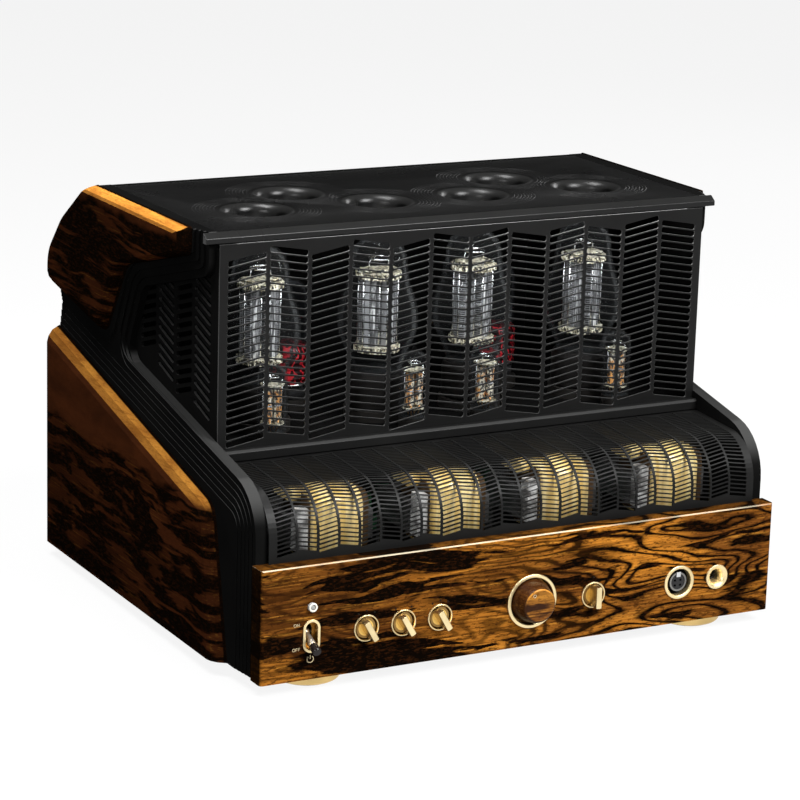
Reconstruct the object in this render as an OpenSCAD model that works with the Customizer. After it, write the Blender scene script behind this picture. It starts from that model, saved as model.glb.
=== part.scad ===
// Full-size valve headphone amplifier: a wooden front panel and wooden side blocks on a black metal body.
// Millimetres. The front faces -Y, +Z is up, and the origin is at floor height under the middle of the body.
// Inside the modules, Y is counted from the face of the front panel and Z from its bottom edge.

/* [Body] */
// width of the front panel and of the black body
body_w = 430; // [410:1:460]
// height of the wooden front panel
panel_h = 84.4; // [82:0.2:88]
// thickness of the wooden front panel
panel_t = 15; // [14:0.5:17]
// depth from the face of the front panel to the back of the side blocks
body_d = 374; // [364:1:400]
// height of the top plate above the bottom of the front panel
top_z = 303; // [297:1:318]
// thickness of a black side plate
side_t = 11.4; // [11:0.2:13]
// thickness of the bent and flat metal sheets
sheet_t = 2; // [1.6:0.1:2.4]
// how far the top plate's lip stands out over the upper grille
lip_reach = 5.4; // [4:0.2:7]

/* [Wooden side blocks] */
// thickness of the wooden side blocks
wood_t = 10; // [7:0.5:14]
// width of the bevel on the lower block
lower_bevel = 13; // [8:0.5:16]
// width of the bevel on the top edge of the upper block
upper_bevel = 6; // [3:0.5:8]

/* [Grilles] */
// distance from the panel's face to the upper grille
grille_y = 99.5; // [96:0.5:104]
// columns of slots in the upper grille
grille_columns = 12; // [8:2:14]
// height from one slot to the next in the upper grille
slot_pitch = 5.53; // [5:0.01:7]
// width of the bar between two slots of the upper grille
slot_bar = 1.2; // [0.8:0.1:2.4]
// thickness of the two slotted front sheets
mesh_t = 1.2; // [1:0.1:2]
// tilt of the slots
slot_tilt = 10; // [6:1:12]
// columns of slots in the curved grille
curve_columns = 24; // [18:2:26]
// height from one slot to the next in the curved grille
curve_pitch = 3.25; // [3:0.05:5]
// width of the bar between two slots of the curved grille
curve_bar = 0.95; // [0.7:0.05:2]
// outer radius of the curved grille's bend
curve_r = 33; // [30:1:36]

/* [Top vents] */
// throat diameter of a flared top vent
vent_d = 44; // [36:1:48]
// radius of the flare
vent_flare = 7; // [5:0.5:8]
// distance from the panel's face to the front row of vents
vent_y = 170; // [164:1:176]
// distance between the two rows of vents
vent_row = 50; // [46:1:56]

/* [Controls] */
// height of the control row
control_z = 32.2; // [28:0.2:36]
// diameter of the volume knob at its foot
volume_d = 33; // [28:0.5:36]
// how far the volume knob stands out of the panel
volume_reach = 12.5; // [11:0.5:16]
// diameter of a small control's cup
cup_d = 20; // [19:0.5:22]
// distance between the small selector controls
selector_step = 29.8; // [28:0.2:32]
// how far a small knob's grip stands out
grip_reach = 9.5; // [8:0.5:12]
// diameter of the control shafts
shaft_d = 6; // [5:0.5:6.5]
// length of the toggle lever from its pivot
lever_len = 22; // [19:0.5:23]
// tilt of the toggle lever below level when it is off
lever_tilt = 25; // [15:1:27]

/* [Sockets] */
// diameter of the headphone jack's bore
jack_bore = 6.5; // [6.4:0.05:6.8]
// diameter of the round socket's opening
round_bore = 20.6; // [20:0.2:21]

/* [Feet] */
// height of the feet
foot_h = 10; // [8:0.5:14]
// diameter of a foot
foot_d = 50; // [40:1:56]

/* [Hidden] */
$fn = 64;
// running clearance of a shaft in its bush, on the radius
run_gap = 0.05;
// clearance of a shaft in a hole that it only passes, on the radius
free_gap = 0.6;
// clearance of a part that seats in a hole or on a sheet
seat_gap = 0.05;
half_w = body_w / 2;
in_w = half_w - side_t;
back_y = body_d - 3;
rear_y = back_y - 14;
rear_t = 2.5;
rear_h = top_z - 63;
rear_slot_z = 80;
rear_slot_step = 11;
sub_t = 3;
sub_y = panel_t + sub_t;
base_t = 3;
deck_z = 138;
deck_t = 3;
grille_t = mesh_t;
mid_y = (body_d - volume_reach) / 2;
// height of the rail at the front panel, and its rise per millimetre of depth
rail_z = 132.7;
rail_rise = 0.2055;
// the opening in a side plate, and the steps that frame it
arm_front = grille_y + lip_reach;
step_in = 6;
rib_in = 5;
// the curved grille's upright face and the slope of its top
curve_y = panel_t - 3;
curve_slope = 3.4;
curve_turn = 90 - curve_slope;
curve_top = 130.85;
curve_run = curve_r * tan(curve_turn / 2);
curve_cy = curve_y + curve_r;
curve_cz = curve_top - curve_run;
curve_arc = curve_r * curve_turn * PI / 180;
curve_upright = curve_cz - panel_h;
curve_flat = (grille_y - (curve_cy - curve_r * cos(curve_turn))) / cos(curve_slope);
curve_len = curve_upright + curve_arc + curve_flat;
// slots of the curved grille: the lowest one, the least distance from the last one to the rear, and the webs
curve_first = 6.45;
curve_last = 11;
curve_rows = floor((curve_len - curve_first - curve_last) / curve_pitch) + 1;
curve_margin = 5.5;
curve_col = 2 * (in_w - curve_margin) / curve_columns;
curve_web = 1.5;
curve_slot_w = curve_pitch - curve_bar;
grille_margin = 5.1;
grille_col = 2 * (in_w - grille_margin) / grille_columns;
grille_top = top_z - 8.5;
grille_bottom = 141.5;
// slots of the upper grille: the highest one, how much lower every other column starts, and the webs
slot_first = 8.15;
slot_drop = 3.85;
slot_last = 8;
slot_web = 2.5;
slot_w = slot_pitch - slot_bar;
slot_round = 1.2;
grille_rows = floor((grille_top - grille_bottom - slot_first - slot_drop - slot_last) / slot_pitch) + 1;
// valves, vents and transformers: inner ones from the middle, outer ones from the end of the panel
vent_in = 41;
vent_edge = 74;
vent_x = [vent_in, half_w - vent_edge];
vent_back_x = (vent_x[0] + vent_x[1]) / 2;
vent_depth = 12;
power_in = 41;
power_edge = 75.5;
power_x = [power_in, half_w - power_edge];
power_y = vent_y - 4;
small_in = 30.7;
small_edge = 67;
small_x = [small_in, half_w - small_edge];
small_y = grille_y + 25.5;
driver_y = vent_y + vent_row - 4;
coil_in = 46;
coil_edge = 73;
coil_x = [coil_in, half_w - coil_edge];
coil_r = curve_r - 6;
coil_l = 48;
coil_y = curve_cy + 2.5;
coil_z = curve_cz - 3;
// places along the control row, from the ends of the panel and from one control to the next
toggle_edge = 39.7;
toggle_gap = 43.5;
balance_gap = 52.5;
jack_edge = 48.7;
socket_gap = 33.9;
lamp_gap = 21.5;
volume_x = 4.4;
volume_lift = 2;
volume_z = control_z + volume_lift;
volume_turn = -33;
toggle_x = toggle_edge - half_w;
selector_x = toggle_x + toggle_gap;
selector_turn = -30;
balance_x = volume_x + balance_gap;
lamp_z = control_z + lamp_gap;
jack_x = half_w - jack_edge;
xlr_x = jack_x - socket_gap;
shaft_r = shaft_d / 2;
bush_r = shaft_r + run_gap;
pass_r = shaft_r + free_gap;
volume_r = volume_d / 2;
volume_cup_r = volume_r + 4.1;
cup_r = cup_d / 2;
cup_in_r = cup_r - 1.3;
knob_r = cup_in_r - 1;
pivot_y = 10;
xlr_r = round_bore / 2;
xlr_out_r = xlr_r + 2.7;
xlr_tube_r = xlr_r + 1.2;
jack_r = jack_bore / 2;
jack_out_r = 9.5;
jack_body_r = 8;
inlet_edge = 53.6;
inlet_x = inlet_edge - in_w;
inlet_z = 40;
foot_edge = 52;
foot_x = half_w - foot_edge;
foot_y = 33;
pad_t = 2;
// supply and circuit parts
cap_r = 17.5;
cap_h = 78;
cap_in = 110;
cap_step = 45;
cap_back = 95;
cap_row = 50;
toroid_r = 66;
toroid_h = 70;
toroid_rim = 6;
toroid_back = 92;
board_w = 300;
board_t = 1.6;
board_z = 60;
board_front = grille_y + 26;
board_gap = 5.5;
board_back = rear_y - toroid_back - toroid_r - toroid_rim - board_gap;
board_d = board_back - board_front;
board_part_r = 7;
board_part_h = 22;
// bar below the upper grille
ledge_reach = 6.5;
ledge_y = grille_y - ledge_reach;
ledge_z = 144.3;
ledge_bevel = 1.7;
ledge_lift = 0.9;
ledge_foot = 2.5;

// Points of a polygon whose corners are rounded; each corner is [x, y, radius].
function unit(v) = v / norm(v);
function flat(c) = [c[0], c[1]];
function turn(d) = d > 180 ? d - 360 : d < -180 ? d + 360 : d;
function arc_points(m, r, a, d, n) = [for (i = [0:n]) m + r * [cos(a + d * i / n), sin(a + d * i / n)]];
function corner_arc(b, u, v, r, n) =
    let (half = acos(u * v) / 2)
    let (m = b + unit(u + v) * (r / sin(half)))
    let (p = b + u * (r / tan(half)) - m)
    let (q = b + v * (r / tan(half)) - m)
    let (a = atan2(p[1], p[0]))
    arc_points(m, r, a, turn(atan2(q[1], q[0]) - a), n);
function corner(a, b, c, n) = b[2] < 0.01
    ? [flat(b)]
    : corner_arc(flat(b), unit(flat(a) - flat(b)), unit(flat(c) - flat(b)), b[2], n);
function rounded(c, n) =
    let (k = len(c))
    [for (i = [0:k - 1]) each corner(c[(i + k - 1) % k], c[i], c[(i + 1) % k], n)];

// The same corners moved inwards, each edge by its own distance.
function left_of(a, b) =
    let (u = unit(flat(b) - flat(a)))
    [-u[1], u[0]];
function moved(p, n1, n2, e1, e2) =
    let (det = n1[0] * n2[1] - n1[1] * n2[0])
    flat(p) + [(e1 * n2[1] - e2 * n1[1]) / det, (e2 * n1[0] - e1 * n2[0]) / det];
function round_after(r, n1, n2, e) = r < 0.01
    ? 0
    : n1[0] * n2[1] - n1[1] * n2[0] > 0 ? max(0.5, r - e) : r + e;
function inset(c, e) =
    let (k = len(c))
    [for (i = [0:k - 1])
        let (h = (i + k - 1) % k)
        let (n1 = left_of(c[h], c[i]))
        let (n2 = left_of(c[i], c[(i + 1) % k]))
        let (p = moved(c[i], n1, n2, e[h], e[i]))
        [p[0], p[1], round_after(c[i][2], n1, n2, (e[h] + e[i]) / 2)]];

// A slot with rounded ends, lying along its first axis.
function slot_points(l, w, n) = concat(
    arc_points([l / 2 - w / 2, 0], w / 2, -90, 180, n),
    arc_points([-l / 2 + w / 2, 0], w / 2, 90, 180, n));

// A slot with rounded corners.
function slot_box(l, w, r, n) = rounded(
    [[l / 2, -w / 2, r], [l / 2, w / 2, r], [-l / 2, w / 2, r], [-l / 2, -w / 2, r]], n);

// Columns that start lower than their neighbours: the pattern is mirrored about the middle.
function low_column(c, n) = (c % 2 == 0) == (c < n / 2);

module place() {
    translate([0, -mid_y, foot_h]) children();
}
// A profile in depth and height, drawn across the width.
module across(x0, x1) {
    translate([x0, 0, 0]) rotate([90, 0, 90]) linear_extrude(x1 - x0) children();
}
// A profile in width and height, drawn from front to back.
module through(y0, y1) {
    translate([0, y1, 0]) rotate([90, 0, 0]) linear_extrude(y1 - y0) children();
}
// A round profile of [radius, depth] about a front-to-back axis.
module turned(x, z) {
    translate([x, 0, z]) rotate([-90, 0, 0]) rotate_extrude() children();
}
module rod(x, z, r, y0, y1) {
    translate([x, y0, z]) rotate([-90, 0, 0]) cylinder(r = r, h = y1 - y0);
}
module block(x0, x1, y0, y1, z0, z1) {
    translate([x0, y0, z0]) cube([x1 - x0, y1 - y0, z1 - z0]);
}
module both() {
    children();
    mirror([1, 0, 0]) children();
}

// Outline of a side plate in depth and height, from its lower front corner round the back.
side_corners = [[panel_t, 0, 0], [back_y, 0, 0], [back_y, top_z - 63, 30], [back_y - 31, top_z - 31, 60],
    [back_y - 74, top_z, 2], [arm_front, top_z, 1.5], [arm_front, top_z - 31.6, 14],
    [222, top_z - 63, 22], [251, rail_z + rail_rise * 236, 12], [panel_t, rail_z, 40]];
function side_edges(front, arm, rail) = [0, 0, 0, 0, 0, front, arm, arm, rail, rail];

module side_layer(x0, x1, front, arm, rail) {
    across(x0, x1) polygon(rounded(inset(side_corners, side_edges(front, arm, rail)), 8));
}

// Each outer layer is cut in two by a valley that runs back between the wood blocks. Its lower side carries
// on the steps of the rail, and its upper side follows the lower edge of the upper block.
valley_in = 3;
tip_round = 23;
function rail_at(y) = rail_z + rail_rise * (y - panel_t);
function block_low(y) = upper_corners[3][1] + (y - upper_corners[3][0])
    * (upper_corners[4][1] - upper_corners[3][1]) / (upper_corners[4][0] - upper_corners[3][0]);
// where the arm's edge meets the upper side of the valley
function arm_end(drop) =
    let (a = side_corners[7])
    let (b = side_corners[8])
    let (over = a[1] - block_low(a[0]) + drop)
    let (under = block_low(b[0]) - drop - b[1])
    let (share = over / (over + under))
    [a[0] + share * (b[0] - a[0]), a[1] + share * (b[1] - a[1]), tip_round + drop];

module split_layer(x0, x1, front, arm, rail, drop) {
    below = [side_corners[0], side_corners[1], [back_y, rail_at(back_y), 0], side_corners[9]];
    above = concat([arm_end(drop), [back_y, block_low(back_y) - drop, 0]],
        [for (i = [2:7]) side_corners[i]]);
    across(x0, x1) polygon(rounded(inset(below, [0, 0, rail, rail]), 8));
    across(x0, x1) polygon(rounded(inset(above, [0, 0, 0, 0, 0, front, arm, arm]), 8));
}

module side_plate() {
    step_t = (side_t - 5.9) / 11;
    base_x = in_w + 5.9;
    union() {
        side_layer(in_w, base_x, 0, 0, 0);
        side_layer(base_x, base_x + 4 * step_t, 5, step_in, 0);
        side_layer(base_x + 4 * step_t, base_x + 6 * step_t, 10, 2 * step_in, 0);
        side_layer(base_x + 6 * step_t, base_x + 7 * step_t, 10, 2 * step_in, rib_in);
        for (k = [1:4])
            split_layer(base_x + (6 + k) * step_t, k < 4 ? base_x + (7 + k) * step_t : half_w,
                15, 3 * step_in, (k + 1) * rib_in, 2 + valley_in * (4 - k));
    }
}

module side_plate_right() {
    color([0.1, 0.1, 0.1]) place() side_plate();
}
module side_plate_left() {
    color([0.1, 0.1, 0.1]) place() mirror([1, 0, 0]) side_plate();
}

// A block whose outer face is smaller than its inner face by each edge's bevel. Both faces are drawn
// round the hub, a point that every corner can be reached from.
bevel_x = [0, 0.55, 0.87, 1];
bevel_in = [0, 0.3, 0.65, 1];
function bevel_ring(c, e, k, n) = [for (p = rounded(inset(c, e * bevel_in[k]), n))
    [half_w + wood_t * bevel_x[k], p[0], p[1]]];
function ring_faces(a, b, m) = [for (i = [0:m - 1])
    let (j = (i + 1) % m)
    each [[a + i, b + i, b + j], [a + i, b + j, a + j]]];

module bevelled(c, e, n, hub) {
    m = len(bevel_ring(c, e, 0, n));
    polyhedron(
        points = concat([for (k = [0:3]) each bevel_ring(c, e, k, n)],
            [[half_w, hub[0], hub[1]], [half_w + wood_t, hub[0], hub[1]]]),
        faces = concat(
            [for (i = [0:m - 1]) [4 * m, i, (i + 1) % m]],
            ring_faces(0, m, m),
            ring_faces(m, 2 * m, m),
            ring_faces(2 * m, 3 * m, m),
            [for (i = [0:m - 1]) [4 * m + 1, 3 * m + (i + 1) % m, 3 * m + i]]));
}

lower_corners = [[panel_t + 38.5, 0, 0], [body_d, 0, 0], [body_d, 178.5, 2], [panel_t + 62, 112, 20]];
lower_edges = [0, 0, lower_bevel, lower_bevel];
lower_hub = (flat(lower_corners[1]) + flat(lower_corners[3])) / 2;
upper_corners = [[arm_front + 17, top_z + 1, 2.5], [arm_front + 17, top_z - 19, 9], [236, top_z - 49, 26],
    [275, top_z - 110, 14], [body_d, top_z - 93, 3], [body_d, top_z - 65, 30],
    [body_d - 29, top_z - 33, 60], [body_d - 78, top_z + 1, 9]];
upper_edges = [12, 4, 6, 12, 1, 1, 1, upper_bevel];
upper_hub = (flat(upper_corners[2]) + flat(upper_corners[7])) / 2;

module lower_wood_right() {
    color([0.45, 0.25, 0.1]) place() bevelled(lower_corners, lower_edges, 6, lower_hub);
}
module lower_wood_left() {
    color([0.45, 0.25, 0.1]) place() mirror([1, 0, 0]) bevelled(lower_corners, lower_edges, 6, lower_hub);
}
module upper_wood_right() {
    color([0.45, 0.25, 0.1]) place() bevelled(upper_corners, upper_edges, 6, upper_hub);
}
module upper_wood_left() {
    color([0.45, 0.25, 0.1]) place() mirror([1, 0, 0]) bevelled(upper_corners, upper_edges, 6, upper_hub);
}

// Slotted sheet behind the opening of a side plate.
vent_front = grille_y + grille_t;
vent_corners = [[vent_front, grille_bottom], [262, 172], [262, top_z - 12], [vent_front, top_z - 12]];
vent_col = 32;
vent_web = 3;
vent_pitch = 7;
vent_slot_w = 3.7;
vent_rows = floor((top_z - 163) / vent_pitch);
screen_t = 0.6;

module side_vent() {
    across(in_w - sheet_t, in_w)
        difference() {
            polygon(vent_corners);
            for (c = [0:3], k = [0:vent_rows - 1])
                if (top_z - 30 - vent_pitch * k > 165 + 8 * c)
                    translate([grille_y + 27.5 + vent_col * c, top_z - 30 - vent_pitch * k])
                        rotate(c % 2 == 0 ? 17 : -17)
                            polygon(slot_points(vent_col - vent_web, vent_slot_w, 3));
        }
}

// Dark dust cloth on the inside of a slotted sheet.
module side_screen() {
    across(in_w - sheet_t - screen_t, in_w - sheet_t) polygon(vent_corners);
}
module side_screen_right() {
    color([0.05, 0.05, 0.05]) place() side_screen();
}
module side_screen_left() {
    color([0.05, 0.05, 0.05]) place() mirror([1, 0, 0]) side_screen();
}
module side_vent_right() {
    color([0.12, 0.12, 0.12]) place() side_vent();
}
module side_vent_left() {
    color([0.12, 0.12, 0.12]) place() mirror([1, 0, 0]) side_vent();
}

// Wooden front panel with a pocket for each control.
module selector_centres() {
    for (i = [0:2])
        translate([selector_x + selector_step * i, 0, control_z]) children();
    translate([balance_x, 0, control_z]) children();
}

cup_back = 5.5;
volume_back = 8.2;
xlr_back = 5;
jack_back = 8;

module toggle_outline(l, w) {
    translate([toggle_x, control_z]) rotate(90) polygon(slot_points(l, w, 16));
}

module front_panel() {
    color([0.5, 0.3, 0.12]) place()
        difference() {
            linear_extrude(panel_h)
                polygon(rounded([[-half_w, 0, 3], [half_w, 0, 3], [half_w, panel_t, 0],
                    [-half_w, panel_t, 0]], 6));
            across(-half_w - 1, half_w + 1)
                polygon([[-1, panel_h - 0.2], [0.2, panel_h - 1], [1, panel_h - 0.2], [1, panel_h + 1],
                    [-1, panel_h + 1]]);
            selector_centres() rod(0, 0, cup_r, -1, cup_back);
            selector_centres() rod(0, 0, bush_r + 2.5, -1, panel_t + 1);
            rod(volume_x, volume_z, volume_cup_r, -1, volume_back);
            rod(volume_x, volume_z, bush_r + 4, -1, panel_t + 1);
            through(-1, panel_t + 1) toggle_outline(24.6, 13.4);
            rod(toggle_x, lamp_z, 2.55, -1, panel_t + 1);
            rod(xlr_x, control_z, xlr_out_r, -1, xlr_back);
            rod(xlr_x, control_z, xlr_tube_r + seat_gap, -1, panel_t + 1);
            rod(jack_x, control_z, jack_out_r, -1, jack_back);
            rod(jack_x, control_z, jack_body_r + seat_gap, -1, panel_t + 1);
        }
}

module front_subpanel() {
    color([0.15, 0.15, 0.15]) place()
        difference() {
            block(-in_w, in_w, panel_t, sub_y, 0, panel_h);
            selector_centres() rod(0, 0, bush_r + 1.65, panel_t - 1, sub_y + 1);
            rod(volume_x, volume_z, bush_r + 2.45, panel_t - 1, sub_y + 1);
            through(panel_t - 1, sub_y + 1) toggle_outline(22.2, 12.2);
            rod(xlr_x, control_z, xlr_tube_r + seat_gap, panel_t - 1, sub_y + 1);
            rod(jack_x, control_z, jack_body_r + seat_gap, panel_t - 1, sub_y + 1);
        }
}

// Top plate with flared round vents and a bevelled lip over the upper grille.
module vent_centres() {
    both() for (x = vent_x) translate([x, vent_y, 0]) children();
    both() translate([vent_back_x, vent_y + vent_row, 0]) children();
}

module top_plate() {
    mouth = vent_d / 2 + vent_flare;
    color([0.13, 0.13, 0.13]) place()
        difference() {
            union() {
                block(-in_w, in_w, arm_front, back_y - 83.4, top_z - 4, top_z);
                across(-half_w + 0.5, half_w - 0.5)
                    polygon([[grille_y, grille_top + 0.8], [arm_front, grille_top + 0.8], [arm_front, top_z],
                        [grille_y, top_z - 3.8]]);
                vent_centres()
                    translate([0, 0, top_z - vent_depth]) cylinder(r = mouth - 3, h = vent_depth - 2);
            }
            vent_centres()
                rotate_extrude()
                    polygon(concat([[0, top_z - vent_depth - 1], [vent_d / 2, top_z - vent_depth - 1]],
                        arc_points([mouth, top_z - vent_flare], vent_flare, 180, -90, 8),
                        [[mouth, top_z + 1], [0, top_z + 1]]));
        }
}

// Flat upper grille: columns of slots that lean left and right in turn.
module upper_grille() {
    color([0.16, 0.16, 0.16]) place()
        through(grille_y, grille_y + grille_t)
            difference() {
                translate([-in_w, grille_bottom]) square([2 * in_w, grille_top - grille_bottom]);
                for (c = [0:grille_columns - 1], k = [0:grille_rows - 1])
                    let (drop = low_column(c, grille_columns) ? slot_drop : 0)
                        translate([grille_col * (c + 0.5 - grille_columns / 2),
                            grille_top - slot_first - drop - slot_pitch * k])
                            rotate(c % 2 == 0 ? slot_tilt : -slot_tilt)
                                polygon(slot_box(grille_col - slot_web, slot_w, slot_round, 2));
            }
}

// Bar that covers the joint between the upper grille and the curved grille.
function curve_line(y) = curve_top + tan(curve_slope) * (y - curve_y);

module ledge_bar() {
    color([0.2, 0.2, 0.2]) place()
        across(-in_w, in_w)
            polygon([[ledge_y, curve_line(ledge_y) + ledge_lift],
                [grille_y - ledge_foot, curve_line(grille_y - ledge_foot) + ledge_lift],
                [grille_y - ledge_foot, curve_line(grille_y - ledge_foot) + seat_gap],
                [grille_y, curve_line(grille_y) + seat_gap],
                [grille_y, ledge_z], [ledge_y + ledge_bevel, ledge_z], [ledge_y, ledge_z - ledge_bevel]]);
}

// Place on the curved grille's outer face at a distance s up from its lower edge: [depth, height, lean].
function curve_place(s) = s < curve_upright
    ? [curve_y, panel_h + s, 0]
    : s < curve_upright + curve_arc
        ? curve_bend((s - curve_upright) * 180 / PI / curve_r)
        : curve_tail(s - curve_upright - curve_arc);
function curve_bend(t) = [curve_cy - curve_r * cos(t), curve_cz + curve_r * sin(t), t];
function curve_tail(d) = [curve_cy - curve_r * cos(curve_turn) + d * cos(curve_slope),
    curve_cz + curve_r * sin(curve_turn) + d * sin(curve_slope), curve_turn];

module curve_sheet() {
    r_in = curve_r - mesh_t;
    tail = curve_tail(curve_flat);
    lower = mesh_t / cos(curve_slope);
    across(-in_w, in_w)
        polygon(concat([[curve_y + mesh_t, panel_h], [curve_y, panel_h]],
            arc_points([curve_cy, curve_cz], curve_r, 180, -curve_turn, 14),
            [[tail[0], tail[1]], [tail[0], tail[1] - lower]],
            arc_points([curve_cy, curve_cz], r_in, 180 - curve_turn, curve_turn, 14)));
}

module curved_grille() {
    color([0.18, 0.18, 0.18]) place()
        difference() {
            curve_sheet();
            for (c = [0:curve_columns - 1], k = [0:curve_rows - 1])
                let (lift = low_column(c, curve_columns) ? 0 : curve_pitch / 2)
                let (p = curve_place(curve_first + lift + curve_pitch * k))
                    translate([curve_col * (c + 0.5 - curve_columns / 2), p[0], p[1]])
                        rotate([-p[2], 0, 0])
                            rotate([0, c % 2 == 0 ? -slot_tilt : slot_tilt, 0])
                                cube([curve_col - curve_web, 4 * mesh_t, curve_slot_w], center = true);
        }
}

// Back of the body: a bent cover under the top plate, and an upright panel for the connections.
module rear_cover() {
    color([0.12, 0.12, 0.12]) place()
        across(-in_w, in_w)
            polygon([[back_y - 83.4, top_z], [back_y - 75, top_z], [back_y - 53, top_z - 15],
                [back_y - 33, top_z - 32], [back_y - 19, top_z - 48], [rear_y + rear_t, rear_h],
                [rear_y, rear_h], [back_y - 21.2, top_z - 49.4], [back_y - 35, top_z - 34],
                [back_y - 54.4, top_z - 17.4], [back_y - 75.8, top_z - 2.5], [back_y - 83.4, top_z - 2.5]]);
}

input_edge = 33.6;
balanced_step = 40;
input_step = 25;
balanced_x = [in_w - input_edge - balanced_step, in_w - input_edge];
input_x = [for (i = [4:-1:1]) balanced_x[0] - 10 - input_step * i];

module rear_panel() {
    color([0.14, 0.14, 0.14]) place()
        difference() {
            block(-in_w, in_w, rear_y, rear_y + rear_t, 0, rear_h);
            block(inlet_x - 14, inlet_x + 14, rear_y - 1, rear_y + rear_t + 1,
                inlet_z - 10.2, inlet_z + 10.2);
            for (x = input_x) rod(x, control_z, 4, rear_y - 1, rear_y + rear_t + 1);
            for (x = balanced_x) rod(x, control_z, 11.5, rear_y - 1, rear_y + rear_t + 1);
            for (i = [-9:9], k = [0:4])
                through(rear_y - 1, rear_y + rear_t + 1)
                    translate([i * 19, rear_slot_z + rear_slot_step * k]) polygon(slot_points(14, 5, 3));
        }
}

module base_plate() {
    color([0.14, 0.14, 0.14]) place() block(-in_w, in_w, sub_y, rear_y, 0, base_t);
}

post_xy = [[in_w - 14, grille_y + 14], [in_w - 14, rear_y - 14], [92, grille_y + 14], [92, rear_y - 14]];

module tube_deck() {
    color([0.1, 0.1, 0.1]) place() block(-in_w, in_w, grille_y, rear_y, deck_z - deck_t, deck_z);
}

module deck_posts() {
    color([0.6, 0.6, 0.6]) place()
        both() for (p = post_xy)
            translate([p[0], p[1], base_t]) cylinder(d = 9, h = deck_z - deck_t - base_t);
}

// Four turned metal feet, each with a soft pad let into its underside.
module foot_centres() {
    both() for (y = [foot_y, body_d - foot_y]) translate([foot_x, y, 0]) children();
}

module feet() {
    r = foot_d / 2;
    h = foot_h - 1;
    color([0.85, 0.72, 0.45]) place()
        foot_centres()
            rotate_extrude()
                polygon([[0, 0], [0, pad_t - 1 - h], [r - 4, pad_t - 1 - h], [r - 4, -h], [r - 1.5, -h],
                    [r, 1.5 - h], [r, 1 - h / 2], [r - 0.8, 0.5 - h / 2], [r, -h / 2], [r, 0]]);
}
module foot_pads() {
    color([0.08, 0.08, 0.08]) place()
        foot_centres() translate([0, 0, -foot_h]) cylinder(r = foot_d / 2 - 4.1, h = pad_t);
}

// Metal rings and cups that line the pockets in the front panel.
module volume_bezel() {
    r = volume_cup_r;
    color([0.85, 0.72, 0.45]) place()
        turned(volume_x, volume_z)
            polygon([[pass_r, volume_back - 1.2], [r - 2.9, volume_back - 1.2], [r - 2.9, -0.7],
                [r - 2.4, -1.2], [r - 0.5, -1.2], [r, -0.7], [r, volume_back], [pass_r, volume_back]]);
}

module selector_bezels() {
    color([0.85, 0.72, 0.45]) place()
        selector_centres()
            turned(0, 0)
                polygon([[pass_r, cup_back - 1], [cup_in_r, cup_back - 1], [cup_in_r, -0.4],
                    [cup_in_r + 0.4, -1], [cup_r - 0.3, -1], [cup_r, -0.6], [cup_r, cup_back],
                    [pass_r, cup_back]]);
}

module toggle_bezel() {
    color([0.85, 0.72, 0.45]) place()
        difference() {
            through(-1, 7.5) toggle_outline(24.6, 13.4);
            through(-2, 6.5) toggle_outline(20.8, 9.6);
            through(0, 8) toggle_outline(14, 7.2);
        }
}

module xlr_bezel() {
    color([0.85, 0.72, 0.45]) place()
        turned(xlr_x, control_z)
            polygon([[xlr_r, -0.5], [xlr_r + 0.7, -1.2], [xlr_out_r - 0.5, -1.2], [xlr_out_r, -0.7],
                [xlr_out_r, xlr_back], [xlr_r, xlr_back]]);
}

module jack_bezel() {
    hole = jack_r + 1.2;
    color([0.85, 0.72, 0.45]) place()
        turned(jack_x, control_z)
            polygon(concat([[hole, jack_back], [hole, 5.5]],
                [for (i = [0:8]) [8.7 - (8.7 - hole) * cos(90 * i / 8), 5.5 - 6.5 * sin(90 * i / 8)]],
                [[jack_out_r - 0.3, -1], [jack_out_r, -0.7], [jack_out_r, jack_back]]));
}

module status_lamp() {
    color([0.95, 0.95, 0.9]) place()
        turned(toggle_x, lamp_z)
            polygon(concat([[0, -2.2]], [for (i = [1:6]) [2.4 * sin(15 * i), -0.8 - 1.4 * cos(15 * i)]],
                [[3.1, -0.8], [3.35, -0.5], [3.35, 0], [2.5, 0], [2.5, panel_t], [0, panel_t]]));
}

// Volume control: wooden knob, shaft and potentiometer.
module volume_knob() {
    r = volume_r;
    front = -volume_reach;
    color([0.5, 0.3, 0.12]) place()
        difference() {
            turned(volume_x, volume_z)
                polygon([[0, front], [r - 5, front], [r - 4.1, front + 0.3], [r - 3.5, front + 1],
                    [r - 3.3, front + 2], [r - 0.8, -2], [r, 0], [r, volume_back - 2],
                    [0, volume_back - 2]]);
            rod(volume_x, volume_z, shaft_r + 0.02, -6, volume_back);
            translate([volume_x, 0, volume_z]) rotate([0, volume_turn, 0])
                rod(0, r - 7, 1, front - 1, front + 0.8);
        }
}
module volume_shaft() {
    color([0.75, 0.7, 0.55]) place() rod(volume_x, volume_z, shaft_r, -6, 40);
}
module volume_pot() {
    color([0.3, 0.3, 0.32]) place()
        difference() {
            union() {
                rod(volume_x, volume_z, bush_r + 2.4, volume_back + 1, sub_y);
                rod(volume_x, volume_z, 14, sub_y, 46);
            }
            rod(volume_x, volume_z, bush_r, volume_back, 42);
        }
}

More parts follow.
